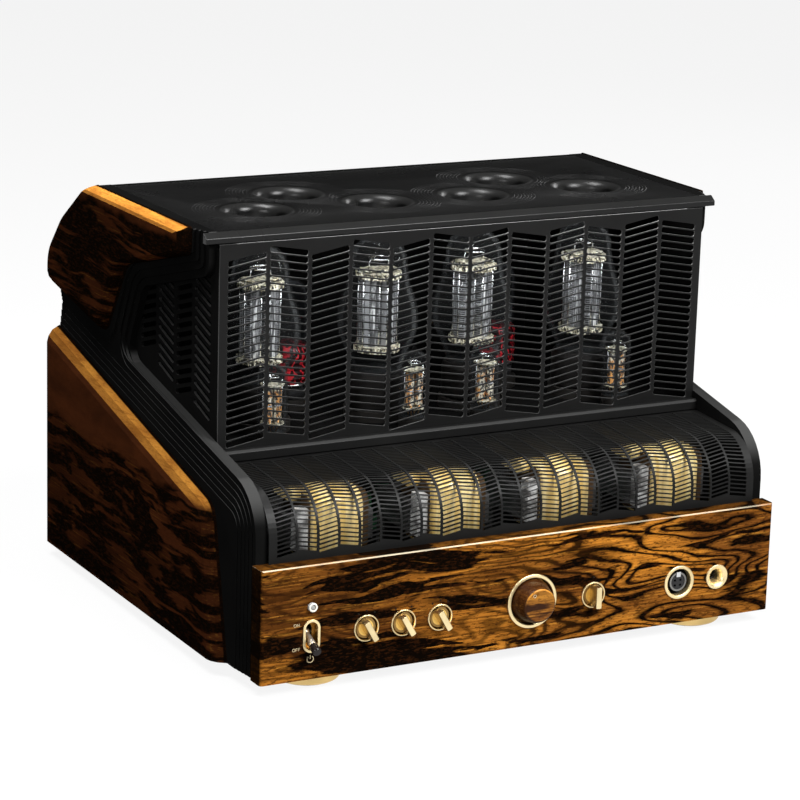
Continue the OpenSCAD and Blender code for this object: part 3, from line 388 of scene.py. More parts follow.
def round_grip(s, place):
    """Mask of the painted shade on a small knob: its outer ring and the sides of its grip."""
    x, _, z = s.split(place)
    axes = [at(axis_x, 0, CONTROL_Z) for axis_x in (*SELECTOR_X, BALANCE_X)]
    radius = s.nearest(s.join(x, 0.0, z), [(axis.x, 0.0, axis.z) for axis in axes])
    ring = s.calc("MULTIPLY", s.step(radius, 0.0056, 0.0063), on_disc(s, place))
    _, fore, _ = s.facing()
    return s.calc("MAXIMUM", ring, s.step(s.calc("ABSOLUTE", fore), 0.45, 0.25, 0.0, 0.7))


def metal(name, colour, roughness, brushed=EVEN_MARKS, variation=0.10, disc=None, mask=None, tint=None):
    """Metal with fine brush marks; disc is the colour of a small knob's disc, and mask is where tint colours it."""
    s = Shader(name, Metallic=1.0)
    place = s.place()
    marks = s.noise(place, brushed, 3.0, 0.6)
    cloud = s.noise(place, (45, 45, 45), 2.0)
    darker = tuple(c * (1 - 2 * variation) for c in colour)
    tone = s.mix(s.step(cloud, 0.3, 0.7), colour, darker)
    if disc:
        tone = s.mix(on_disc(s, place), tone, disc)
    if mask:
        tone = s.mix(mask(s, place), tone, tint)
    s.drive("Base Color", tone)
    s.drive("Roughness", s.step(marks, 0.25, 0.75, roughness - 0.06, roughness + 0.08))
    s.bump(marks, 0.10, 0.00006)
    return s.material


def plastic(name, colour, roughness, coat=0.0):
    """Moulded plastic, rubber or ceramic with a slight cloud in its colour and a fine grain."""
    s = Shader(name, Coat_Weight=coat, Coat_Roughness=0.05, Specular_IOR_Level=0.15)
    place = s.place()
    cloud = s.noise(place, (60, 60, 60), 3.0)
    paler = tuple(min(1.0, c * 1.25 + 0.004) for c in colour)
    s.drive("Base Color", s.mix(s.step(cloud, 0.3, 0.7), colour, paler))
    s.drive("Roughness", s.step(cloud, 0.3, 0.7, roughness - 0.05, roughness + 0.05))
    s.bump(s.noise(place, EVEN_MARKS, 2.0), 0.10, 0.0001)
    return s.material


def glass(name, tint):
    """Thin clear glass: what is behind shows through, and the rim reflects; the rim's grey base colour and its
    vertical streaks are painted reflection.
    """
    mirror, least = 0.28, 0.02
    # The grey base colour is a painted sheen on the rim; its gloss is real
    s = Shader(name, Base_Color=(0.12, 0.125, 0.125, 1.0), Roughness=0.04, Specular_IOR_Level=0.8)
    clear = s.add("BsdfTransparent", {"Color": (*tint, 1.0)})
    rim = s.add("LayerWeight", {"Blend": 0.10})
    # Painted reflection: vertical streaks in how much of the rim shows
    streak = s.noise(s.place(), (30, 30, 9), 1.0)
    share = s.calc("MULTIPLY_ADD", rim.outputs["Fresnel"], mirror, least)
    share = s.calc("MULTIPLY", share, s.step(streak, 0.2, 0.8, 0.7, 1.2))
    shown = s.add("MixShader", {0: share, 1: clear.outputs[0], 2: s.surface.outputs[0]})
    s.tree.links.new(shown.outputs[0], s.output.inputs["Surface"])
    return s.material


def coil_wrap():
    """Amber insulating tape over a winding: fine turns show through it as ridges round the coil."""
    s = Shader("coil_wrap", Specular_IOR_Level=0.55, Coat_Weight=0.5, Coat_Roughness=0.16)
    place = s.place()
    x, _, _ = s.split(place)
    turns = s.wave(x, pitch=0.0011)
    layer = s.noise(place, (260, 12, 12), 2.0)
    cloud = s.noise(place, (40, 40, 40), 2.0)
    tape = s.mix(s.step(layer, 0.35, 0.65), (0.80, 0.55, 0.16), (0.95, 0.78, 0.38))
    s.drive("Base Color", s.mix(s.step(cloud, 0.35, 0.7, 0.0, 0.4), tape, (0.72, 0.44, 0.11)))
    s.drive("Roughness", s.step(cloud, 0.3, 0.7, 0.30, 0.42))
    s.bump(s.calc("MULTIPLY_ADD", turns, 0.25, layer), 0.25, 0.0003)
    return s.material


def laminated_steel(name, pale, dark):
    """Stack of thin core sheets: fine edge lines across the stack."""
    s = Shader(name, Metallic=0.35)
    place = s.place()
    _, _, z = s.split(place)
    sheets = s.wave(z, pitch=0.0012)
    stain = s.noise(place, (70, 70, 160), 3.0)
    s.drive("Base Color", s.mix(s.step(stain, 0.38, 0.62), pale, dark))
    s.drive("Roughness", s.step(stain, 0.3, 0.7, 0.22, 0.38))
    s.bump(s.step(sheets, -0.2, 0.6), 0.35, 0.0002)
    return s.material


def anode_plate():
    """Grey carbon-coated sheet with a fine woven grid."""
    s = Shader("anode_plate", Metallic=0.3)
    place = s.place()
    x, y, z = s.split(place)
    mesh = 0.0016
    across = s.wave(s.calc("ADD", x, y), mesh)
    up = s.wave(z, mesh)
    grid = s.step(s.calc("MAXIMUM", across, up), 0.55, 0.9)
    s.drive("Base Color", s.mix(grid, (0.05, 0.05, 0.052), (0.34, 0.34, 0.345)))
    s.drive("Roughness", s.step(grid, 0.0, 1.0, 0.55, 0.32))
    s.bump(grid, 0.4, 0.0002)
    return s.material


def plate_rib():
    """Rib of a valve plate, scored along its height: a bright copy of the plate's grey, as a painted highlight."""
    s = Shader("plate_rib", Metallic=0.35)
    place = s.place()
    score = s.noise(place, (900, 900, 30), 2.0)
    blot = s.noise(place, (200, 200, 70), 3.0, 0.6)
    shade = s.calc("MULTIPLY", s.step(score, 0.40, 0.60), s.step(blot, 0.35, 0.62))
    # Painted highlight: the rib is a bright copy of the plate's grey, with dark blots
    s.drive("Base Color", s.mix(shade, (0.07, 0.07, 0.072), (0.88, 0.88, 0.87)))
    s.drive("Roughness", s.step(blot, 0.3, 0.7, 0.5, 0.35))
    s.bump(score, 0.4, 0.0002)
    return s.material


def red_body():
    """Dark body with glossy red ridges that wander round it."""
    s = Shader("red_body", Specular_IOR_Level=0.3)
    place = s.place()
    x, y, _ = s.split(place)
    wander = s.noise(place, (120, 120, 90), 2.0)
    around = s.calc("MULTIPLY_ADD", wander, 0.030, s.calc("ADD", x, y))
    ridge = s.step(s.wave(around, pitch=0.0075), 0.15, 0.85)
    s.drive("Base Color", s.mix(ridge, (0.010, 0.0015, 0.002), (0.40, 0.014, 0.022)))
    s.drive("Roughness", s.step(wander, 0.3, 0.7, 0.25, 0.4))
    s.bump(ridge, 0.5, 0.0004)
    return s.material


def mica():
    """Whitish mica with flaky glints: the bright flakes are painted glints, and the near-black gaps between them are
    painted shade.
    """
    s = Shader("mica", Specular_IOR_Level=0.7, Coat_Weight=0.4, Coat_Roughness=0.1)
    flakes = s.noise(s.place(), (430, 430, 380), 3.0, 0.8)
    # Painted glints and painted shade: bright flakes over near-black gaps
    gap, honey, white = (0.015, 0.013, 0.009), (0.70, 0.60, 0.34), (1.0, 0.96, 0.82)
    s.drive("Base Color", s.ramp(flakes, (0.49, gap), (0.53, honey), (0.57, white)))
    s.drive("Roughness", s.step(flakes, 0.3, 0.7, 0.45, 0.2))
    s.bump(flakes, 0.5, 0.0003)
    return s.material


def glints():
    """Small valve's plates: dark metal with cream and copper-coloured glints."""
    s = Shader("small_glints", Specular_IOR_Level=0.5)
    place = s.place()
    spots = s.noise(place, (420, 420, 330), 3.0, 0.7)
    warm = s.noise(place, (160, 160, 120), 2.0)
    tone = s.mix(s.step(warm, 0.45, 0.55), (0.95, 0.88, 0.70), (0.85, 0.40, 0.12))
    s.drive("Base Color", s.mix(s.step(spots, 0.47, 0.54), (0.05, 0.045, 0.04), tone))
    s.drive("Roughness", s.step(spots, 0.3, 0.7, 0.45, 0.25))
    s.bump(spots, 0.4, 0.0003)
    return s.material


def printed(name, colour):
    """Ink of a print or an inlay, a little uneven."""
    s = Shader(name, Roughness=0.45, Specular_IOR_Level=0.08)
    wear = s.noise(s.place(), EVEN_MARKS, 3.0)
    s.drive("Base Color", s.mix(s.step(wear, 0.3, 0.7), colour, tuple(c * 0.82 for c in colour)))
    return s.material


PANEL_WOOD = panel_wood("panel_wood")
KNOB_WOOD = knob_wood("knob_wood")
# pale is lower for the lower block: its outer wood is painted in shade
LOWER_WOOD = side_wood("lower_side_wood", line=PANEL.z + 0.110, patch=((17, 14, 78), 0.555, 0.63),
                       streak=((9, 12, 150), 0.64, 0.72), tip=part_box("lower_wood_left")[0].y, pale=0.64)
UPPER_WOOD = side_wood("upper_side_wood", line=PANEL.z + 0.294, patch=((13, 14, 70), 0.62, 0.71),
                       streak=((7, 12, 130), 0.61, 0.70), tip=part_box("upper_wood_left")[0].y, pale=1.05, shift=0.2)
# The base shades of the black metal parts were set part by part to how bright each looks, so the differences between
# them are partly painted light and shade
BODY_BLACK = black_metal("body_black", shade=0.005, roughness=0.55, gloss=0.0, painted_highlight=0.042)
TOP_BLACK = black_metal("top_black", shade=0.0022, roughness=0.30, gloss=0.26, painted_highlight=0.012, rings=True)
GRILLE_BLACK = black_metal("grille_black", shade=0.005, roughness=0.42, gloss=0.14, painted_highlight=0.11)
LEDGE_BLACK = black_metal("ledge_black", shade=0.007, roughness=0.42, gloss=0.13, painted_highlight=0.024)
CURVE_BLACK = black_metal("curve_black", shade=0.008, roughness=0.42, gloss=0.10, painted_highlight=0.017)
INNER_BLACK = black_metal("inner_black", shade=0.004, roughness=0.6, gloss=0.0)
VENT_BLACK = black_metal("vent_black", shade=0.006, roughness=0.5, gloss=0.0, painted_highlight=0.030)
GOLD = metal("pale_gold", PALE_GOLD, 0.44, TURNED_MARKS)
# Painted shade: the tints darken the inside of the cups and the small knobs' outer rings and grip sides
KNOB_GOLD = metal("knob_gold", PALE_GOLD, 0.34, TURNED_MARKS, disc=DEEP_GOLD, mask=round_grip, tint=GRIP_SHADE)
CUP_GOLD = metal("cup_gold", PALE_GOLD, 0.34, TURNED_MARKS, mask=in_pocket, tint=CUP_SHADE)
FOOT_GOLD = metal("foot_gold", (0.86, 0.60, 0.24), 0.34, (90, 90, 500), 0.16)
DULL_STEEL = metal("dull_steel", (0.24, 0.235, 0.22), 0.30)
STEEL = metal("bright_steel", (0.72, 0.72, 0.72), 0.22, (500, 500, 60))
LEVER = metal("lever_nickel", (0.92, 0.88, 0.80), 0.42)
SCREW_STEEL = metal("screw_steel", (0.20, 0.20, 0.21), 0.35)
COPPER = metal("heater_copper", (0.85, 0.45, 0.18), 0.28)
BLACK_PLASTIC = plastic("black_plastic", (0.018, 0.018, 0.019), 0.45)
BASE_BLACK = plastic("valve_base", (0.0025, 0.0020, 0.0016), 0.6)
TIP_BLACK = plastic("lever_tip", (0.008, 0.005, 0.004), 0.22, coat=0.05)
SOCKET = plastic("valve_socket", (0.010, 0.009, 0.008), 0.5)
BOARD = plastic("circuit_board", (0.020, 0.075, 0.035), 0.4)
RUBBER = plastic("foot_rubber", (0.020, 0.020, 0.020), 0.8)
SCREEN = black_metal("screen_cloth", shade=0.0012, roughness=0.9, gloss=0.0)
LENS = plastic("lamp_lens", (0.30, 0.30, 0.29), 0.15, coat=0.8)
LAMP_RIM = plastic("lamp_rim", (0.80, 0.77, 0.68), 0.35)
RED = red_body()
CLEAR = glass("valve_glass", (0.95, 0.96, 0.97))
SMOKED = glass("driver_glass", (0.72, 0.73, 0.76))
WRAP = coil_wrap()
# One laminated steel in two copies: the clamp's bright copy is a painted highlight, the stack's dark copy painted
# shade
CORE = laminated_steel("core_clamp", (0.85, 0.85, 0.84), (0.16, 0.155, 0.15))
DARK_CORE = laminated_steel("core_stack", (0.085, 0.085, 0.085), (0.035, 0.034, 0.033))
ANODE = anode_plate()
RIB = plate_rib()
MICA = mica()
GLINTS = glints()
CREAM = printed("cream_print", (0.80, 0.68, 0.46))
DIM_PRINT = printed("dim_print", (0.50, 0.41, 0.25))
DARK_DOT = printed("dark_inlay", (0.010, 0.007, 0.005))
PAPER = plastic("end_board", (0.050, 0.026, 0.009), 0.7)

# Nodes by their finish
FINISH = {
    PANEL_WOOD: ("front_panel",),
    KNOB_WOOD: ("volume_knob",),
    LOWER_WOOD: ("lower_wood_left", "lower_wood_right"),
    UPPER_WOOD: ("upper_wood_left", "upper_wood_right"),
    BODY_BLACK: ("side_plate_left", "side_plate_right", "rear_cover", "rear_panel", "base_plate"),
    TOP_BLACK: ("top_plate",),
    GRILLE_BLACK: ("upper_grille",),
    LEDGE_BLACK: ("ledge_bar",),
    CURVE_BLACK: ("curved_grille",),
    INNER_BLACK: ("front_subpanel", "tube_deck"),
    VENT_BLACK: ("side_vent_left", "side_vent_right"),
    FOOT_GOLD: ("feet",),
    GOLD: ("xlr_bezel", "jack_bezel", "line_inputs"),
    CUP_GOLD: ("volume_bezel", "selector_bezels", "toggle_bezel"),
    KNOB_GOLD: ("selector_knob_1", "selector_knob_2", "selector_knob_3", "balance_knob"),
    STEEL: ("deck_posts", "volume_shaft", "xlr_latch"),
    DULL_STEEL: ("xlr_ring",),
    DARK_CORE: ("output_cores",),
    LEVER: ("power_toggle",),
    BLACK_PLASTIC: ("toggle_switch", "xlr_socket", "jack_socket", "selector_switches", "volume_pot", "power_inlet",
                    "filter_capacitors", "power_transformer"),
    BASE_BLACK: ("power_tube_bases",),
    TIP_BLACK: ("toggle_tip",),
    SOCKET: ("tube_sockets",),
    BOARD: ("amplifier_board",),
    RUBBER: ("foot_pads",),
    LENS: ("status_lamp",),
    SCREEN: ("side_screen_left", "side_screen_right"),
    CLEAR: ("power_tube_bulbs", "small_tube_bulbs"),
    SMOKED: ("driver_tube_bulbs",),
}
for finish, names in FINISH.items():
    for node_name in names:
        for slot in nodes[node_name].material_slots:
            slot.material = finish


# Mesh pieces

class Build:
    """A mesh made of several finishes, in millimetres on the object."""

    def __init__(self, name):
        self.name = name
        self.mesh = bmesh.new()
        self.finishes = []
        self.current = 0

    def use(self, finish):
        if finish not in self.finishes:
            self.finishes.append(finish)
        self.current = self.finishes.index(finish)
        return self

    def point(self, p):
        return self.mesh.verts.new(at(*p))

    def face(self, verts, smooth=False):
        face = self.mesh.faces.new(verts)
        face.material_index = self.current
        face.smooth = smooth

    def rings(self, rings, closed=False, smooth=True):
        """Skins loops of points; closed joins the last loop to the first, and otherwise the ends are capped."""
        loops = [[self.point(p) for p in ring] for ring in rings]
        count = len(loops[0])
        pairs = list(zip(loops, loops[1:])) + ([(loops[-1], loops[0])] if closed else [])
        for a, b in pairs:
            for i in range(count):
                j = (i + 1) % count
                self.face((a[i], a[j], b[j], b[i]), smooth)
        if not closed:
            self.face(list(reversed(loops[0])))
            self.face(loops[-1])

    def lathe(self, centre, axis, profile, steps=32, closed=False, smooth=True):
        """Turns a profile of (radius, distance along the axis) about axis Y or Z through centre."""
        def spot(r, d, i):
            a = 2 * math.pi * i / steps
            u, v = r * math.cos(a), r * math.sin(a)
            x, y, z = centre
            return (x + v, y + d, z + u) if axis == "Y" else (x + u, y + v, z + d)
        self.rings([[spot(r, d, i) for i in range(steps)] for r, d in profile], closed, smooth)

    def box(self, low, high, bevel=0.0):
        """A block, with its upright edges cut off by bevel."""
        (x0, y0, z0), (x1, y1, z1) = low, high
        if bevel:
            left, right, near, far = x0 + bevel, x1 - bevel, y0 + bevel, y1 - bevel
            loop = [(left, y0), (right, y0), (x1, near), (x1, far), (right, y1), (left, y1), (x0, far), (x0, near)]
        else:
            loop = [(x0, y0), (x1, y0), (x1, y1), (x0, y1)]
        self.rings([[(x, y, z) for x, y in loop] for z in (z0, z1)], smooth=False)

    def bar(self, section, places, smooth=True):
        """A bar along X that has the same section of (depth, height) at each place."""
        self.rings([[(x, y, z) for y, z in section] for x in places], smooth=smooth)

    def tube(self, path, radius, steps=8):
        """A round wire along a path of points."""
        points = [Vector(p) for p in path]
        rings = []
        for i, p in enumerate(points):
            ahead = points[min(i + 1, len(points) - 1)] - points[max(i - 1, 0)]
            ahead.normalize()
            side = ahead.cross(Vector((0.31, 0.2, 0.93)) if abs(ahead.z) < 0.8 else Vector((1, 0, 0))).normalized()
            up = side.cross(ahead)
            turn = [2 * math.pi * k / steps for k in range(steps)]
            rings.append([tuple(p + (side * math.cos(a) + up * math.sin(a)) * radius) for a in turn])
        self.rings(rings)

    def ribbon(self, path, width, front, thick, closed=False):
        """A flat stroke on the front panel along a path of (x, z)."""
        points = [Vector(p) for p in path]
        count = len(points)
        left, right = [], []
        for i, p in enumerate(points):
            before = points[(i - 1) % count] if closed or i else p
            after = points[(i + 1) % count] if closed or i + 1 < count else p
            run = (after - before).normalized()
            side = Vector((-run.y, run.x)) * width / 2
            left.append(p + side)
            right.append(p - side)
        loops = [[(q.x, front, q.y), (q.x, front - thick, q.y), (w.x, front - thick, w.y), (w.x, front, w.y)]
                 for q, w in zip(left, right)]
        self.rings(loops, closed=closed, smooth=False)

    def piece(self, body, slot, *replaced):
        """Turns the mesh into an object that rides on a body."""
        bmesh.ops.recalc_face_normals(self.mesh, faces=self.mesh.faces)
        data = bpy.data.meshes.new(self.name)
        self.mesh.to_mesh(data)
        self.mesh.free()
        for finish in self.finishes:
            data.materials.append(finish)
        made = bpy.data.objects.new(self.name, data)
        bpy.context.scene.collection.objects.link(made)
        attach(made, body)
        if replaced:
            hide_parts(*replaced)


def arc(cx, cz, r, start, sweep, steps):
    """Points of an arc on the panel; angles in degrees, clockwise from the top."""
    turns = [math.radians(start + sweep * i / steps) for i in range(steps + 1)]
    return [(cx + r * math.sin(a), cz + r * math.cos(a)) for a in turns]


def letters():
    """ON, OFF and the power mark at the switch."""
    b = Build("switch_lettering").use(DIM_PRINT)
    stroke, front, thick = 0.42, -0.02, 0.12
    words_x, letter = -187.0, 2.1
    mark_x, mark_z, mark_r, mark_stroke = -175.8, 15.1, 2.5, 0.62

    def write(word, x, z, size):
        wide = {"O": 0.92 * size, "N": 0.80 * size, "F": 0.62 * size}
        gap = 0.30 * size
        left = x - (sum(wide[c] for c in word) + gap * (len(word) - 1)) / 2
        low, high = z - size / 2, z + size / 2
        for c in word:
            right = left + wide[c]
            if c == "O":
                mid = (left + right) / 2
                ring = [(mid + (px - mid) * wide[c] / size, pz) for px, pz in arc(mid, z, size / 2, 0, 345, 23)]
                b.ribbon(ring, stroke, front, thick, closed=True)
            else:
                foot, head = (left, low), (left, high)
                strokes = {"N": ((foot, head), (head, (right, low)), ((right, low), (right, high))),
                           "F": ((foot, head), (head, (right, high)), ((left, z), (right - 0.3, z)))}
                for path in strokes[c]:
                    b.ribbon(path, stroke, front, thick)
            left = right + gap

    write("ON", words_x, 41.4, letter)
    write("OFF", words_x, 23.3, letter)
    b.ribbon(arc(mark_x, mark_z, mark_r, 38, 284, 24), mark_stroke, front, thick)
    b.ribbon(((mark_x, 15.3), (mark_x, 18.2)), mark_stroke, front, thick)
    b.piece("chassis", "white")


def scale_dots():
    """Dark dots let into the panel round the small controls."""
    b = Build("scale_dots").use(DARK_DOT)
    dome = ((0.75, 0.05), (0.75, -0.05), (0.55, -0.14), (0.2, -0.18))
    three, two, one = (-30, 0, 30), (-30, 30), (0,)
    for x, reach, turns in zip((*SELECTOR_X, BALANCE_X), (12.7, 12.7, 12.7, 13.4), (three, two, three, one)):
        for turn in turns:
            a = math.radians(turn)
            b.lathe((x + reach * math.sin(a), 0, CONTROL_Z + reach * math.cos(a)), "Y", dome, 16)
    b.piece("chassis", "black_plastic")


def volume_index():
    """Pale ring round the index hole of the volume knob."""
    b = Build("volume_index").use(CREAM)
    a, reach = math.radians(VOLUME_TURN), 9.5
    centre = (VOLUME[0] + reach * math.sin(a), VOLUME_FRONT, VOLUME[1] + reach * math.cos(a))
    b.lathe(centre, "Y", ((1.0, 0.3), (1.0, -0.05), (1.3, -0.05), (1.3, 0.02)), 24, closed=True)
    b.piece("volume_control", "white")


def ring_profile(r, t, steps=8):
    """Profile of a round ring of wire, for lathe."""
    turns = [2 * math.pi * i / steps for i in range(steps)]
    return [(r + t * math.cos(a), t * math.sin(a)) for a in turns]


def toothed_disc(x, y, inner, outer, count):
    """Points round a disc whose edge goes in and out."""
    turns = [(2 * math.pi * i / count, outer if i % 2 else inner) for i in range(count)]
    return [(x + r * math.cos(a), y + r * math.sin(a)) for a, r in turns]


def power_electrodes():
    """Inside of each large valve: stem, plates with straps, mica discs, rods and getter ring."""
    b = Build("power_electrodes")
    for x in POWER_X:
        z = POWER_FOOT
        foot = (x, POWER_Y, z)
        b.use(CLEAR).lathe(foot, "Z", ((13, 0.2), (9, 3), (6, 9), (5, 13.5)), 24)
        b.use(STEEL)
        for dx in (-4, -1.5, 1.5, 4):
            b.tube(((x + dx * 0.8, POWER_Y, z + 13), (x + dx, POWER_Y, z + 16.5)), 0.5, 6)
        disc = toothed_disc(x, POWER_Y, 16.4, 17.6, 48)
        for level in (16.5, 73.0):
            b.use(MICA).rings([[(px, py, z + level + h) for px, py in disc] for h in (-1.2, 3.2)], smooth=False)
        for side in (-1, 1):
            b.use(ANODE)
            low, high = sorted((x + side * 1.2, x + side * 13.2))
            b.box((low, POWER_Y - 6.5, z + 18.6), (high, POWER_Y + 6.5, z + 71.4), 2.2)
            rib = sorted((x + side * 4.4, x + side * 9.6))
            b.use(RIB).box((rib[0], POWER_Y - 8.0, z + 19), (rib[1], POWER_Y - 6.2, z + 71), 0.8)
            b.use(ANODE)
            fin = sorted((x + side * 13.2, x + side * 16.2))
            b.box((fin[0], POWER_Y - 0.6, z + 24), (fin[1], POWER_Y + 0.6, z + 66))
            b.use(STEEL)
            for level in (28, 44, 60):
                b.box((low - 0.25, POWER_Y - 6.8, z + level), (high + 0.25, POWER_Y + 6.8, z + level + 1.6), 2.4)
            for dx, dy in ((14.6, -4.2), (14.6, 4.2), (3.4, -9.0)):
                b.tube(((x + side * dx, POWER_Y + dy, z + 14.5), (x + side * dx, POWER_Y + dy, z + 78)), 0.7, 8)
        b.use(MICA).box((x - 14, POWER_Y - 8.4, z + 77.5), (x + 14, POWER_Y + 8.4, z + 78.3), 3)
        b.use(STEEL).lathe((x, POWER_Y, z + 86), "Z", ring_profile(7.5, 0.7), 32, closed=True)
        b.tube(((x + 7.5, POWER_Y, z + 86), (x + 9, POWER_Y, z + 78)), 0.5, 6)
        b.tube(((x - 7.5, POWER_Y, z + 86), (x - 9, POWER_Y, z + 78)), 0.5, 6)
    b.piece("chassis", "steel", "power_tube_cores")


def small_electrodes():
    """Inside of each small valve: paired plates between mica discs, with copper heater leads."""
    b = Build("small_electrodes")
    for x in SMALL_X:
        z = SMALL_FOOT
        b.use(CLEAR).lathe((x, SMALL_Y, z), "Z", ((8.5, 0.3), (6, 3), (5, 5.5)), 20)
        for level in (7.0, 36.0):
            b.use(MICA).lathe((x, SMALL_Y, z), "Z", ((9.0, level), (9.0, level + 0.7)), 28, smooth=False)
        for side in (-1, 1):
            low, high = sorted((x + side * 0.8, x + side * 6.6))
            b.use(GLINTS).box((low, SMALL_Y - 3.6, z + 9.5), (high, SMALL_Y + 3.6, z + 34), 1.4)
            b.use(STEEL).box((low - 0.2, SMALL_Y - 3.8, z + 20), (high + 0.2, SMALL_Y + 3.8, z + 21.2), 1.5)
            b.tube(((x + side * 7.6, SMALL_Y, z + 5), (x + side * 7.6, SMALL_Y, z + 39)), 0.5, 8)
            b.use(COPPER)
            for dy in (-2.2, 2.2):
                lead_x, lead_y = x + side * 3.4, SMALL_Y + dy * 1.4
                path = (x + side * 2, SMALL_Y + dy, z + 1), (lead_x, lead_y, z + 5), (lead_x, lead_y, z + 9.5)
                b.tube(path, 0.6, 8)
        b.use(STEEL).lathe((x, SMALL_Y, z + 42), "Z", ring_profile(4.5, 0.5), 24, closed=True)
        b.tube(((x, SMALL_Y + 4.5, z + 42), (x, SMALL_Y + 4.5, z + 36.5)), 0.4, 6)
    b.piece("chassis", "steel", "small_tube_cores")


def rounded_section(y, z, half_y, half_z, r, steps=6):
    """Points of a rounded rectangle in depth and height."""
    points = []
    for quarter, (sy, sz) in enumerate(((1, 1), (-1, 1), (-1, -1), (1, -1))):
        for i in range(steps + 1):
            a = math.pi / 2 * (quarter + i / steps)
            points.append((y + sy * (half_y - r) + r * math.cos(a), z + sz * (half_z - r) + r * math.sin(a)))
    return points


def wound_coils():
    """Taped windings of the output transformers: soft shoulders, end boards, a bright clamp and a fold of tape."""
    b = Build("wound_coils")
    low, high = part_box("output_coils")
    lift = 4.5
    z = ((low.z + high.z) / 2 - PANEL.z) / MM + lift
    half_depth, half_height, corner = 25, 27, 13
    shoulder = ((0.0, 3.6), (0.5, 1.8), (1.6, 0.8), (3.4, 0.5), (3.7, 0.0))
    for x in COIL_X:
        left, right = x - 22.5, x + 18.5
        ends = [(left + d, cut) for d, cut in shoulder] + [(right - d, cut) for d, cut in reversed(shoulder)]
        sections = [(px, rounded_section(COIL_Y, z, half_depth - cut, half_height - cut, corner)) for px, cut in ends]
        b.use(WRAP).rings([[(px, py, pz) for py, pz in section] for px, section in sections])
        board = rounded_section(COIL_Y, z, 21.0, 23.0, 9)
        for px, thick in ((left, -1.2), (right, 5.0)):
            b.use(PAPER).bar(board, (px, px + thick), smooth=False)
        b.use(CORE).box((left - 10.5, COIL_Y - 23.0, z - 15.5), (left - 2.0, COIL_Y - 10.0, z + 15.5), 1.6)
        fold = rounded_section(COIL_Y + 7.5, z + 21.6, 15.5, 4.6, 4.2)
        b.use(WRAP).bar(fold, (left - 8.5, left - 1.4))
    b.piece("chassis", "coil", "output_coils")


def screws():
    """Round-headed screws with a hexagon socket, on the rear panel and under the base."""
    b = Build("socket_screws").use(SCREW_STEEL)
    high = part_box("rear_panel")[1]
    inset = 8
    rear = (high.y - PANEL.y) / MM
    edge = high.x / MM - inset
    top = (high.z - PANEL.z) / MM
    steps = 24
    sector = math.radians(60)
    turns = [2 * math.pi * i / steps for i in range(steps)]
    circle = [1.0] * steps
    hexagon = [math.cos(sector / 2) / math.cos(a % sector - sector / 2) for a in turns]
    # Shape, share of the radius and share of the height of each loop, from the foot to the bottom of the socket
    loops = ((circle, 1.0, 0.0), (circle, 1.0, 0.35), (circle, 0.9, 0.75), (circle, 0.7, 1.0),
             (hexagon, 0.5, 1.0), (hexagon, 0.5, 0.35))

    def head(centre, axis, r, h, sign):
        """One head; sign says to which side of the face it rises along the axis."""
        x, y, z = centre
        rings = []
        for shape, wide, tall in loops:
            size, rise = r * wide, sign * h * tall
            offsets = [(k * size * math.cos(a), k * size * math.sin(a)) for k, a in zip(shape, turns)]
            rings.append([(x + u, y + rise, z + v) if axis == "Y" else (x + u, y + v, z + rise) for u, v in offsets])
        b.rings(rings, smooth=False)

    for side in (-1, 1):
        for z in (inset, top / 2, top - inset):
            head((side * edge, rear, z), "Y", 2.8, 1.8, 1)
        for x in (103, 193):
            for y in (60, 337):
                head((side * x, y, 0), "Z", 3.2, 1.6, -1)
    b.piece("chassis", "steel", "panel_screws")


def driver_bodies():
    """Red bodies under the two rear valves, with a dark foot and a bright rim."""
    b = Build("driver_bodies")
    base = ((14.5, 146), (14.5, 155.6), (13.8, 156.4))
    rim = ((16.2, 156.2), (16.5, 156.5), (16.5, 158.2), (16.2, 158.5))
    ribs = [(16.0 + 0.35 * math.cos(2 * math.pi * i / 4), 158.4 + 1.05 * i) for i in range(26)]
    sleeve = [(15.4, 158.3)] + ribs + [(15.2, 186.0), (13.6, 188.0)]
    for x in DRIVER_X:
        for finish, profile in ((BLACK_PLASTIC, base), (STEEL, rim), (RED, sleeve)):
            b.use(finish).lathe((x, DRIVER_Y, 0), "Z", profile, 40)
    b.piece("chassis", "red", "driver_tube_bases")


def lamp_rim():
    """Pale rim round the status lamp's lens."""
    low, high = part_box("status_lamp")
    x, z = ((low.x + high.x) / 2) / MM, ((low.z + high.z) / 2 - PANEL.z) / MM
    front = (low.y - PANEL.y) / MM
    b = Build("lamp_rim").use(LAMP_RIM)
    section = ((2.0, 0.1), (2.0, -0.25), (2.3, -0.5), (2.9, -0.5), (3.3, -0.2), (3.35, 0.1))
    b.lathe((x, front, z), "Y", section, 32, closed=True)
    b.piece("chassis", "white")


letters()
scale_dots()
volume_index()
power_electrodes()
small_electrodes()
driver_bodies()
lamp_rim()
wound_coils()
screws()


# Soft edges on the solids that stay

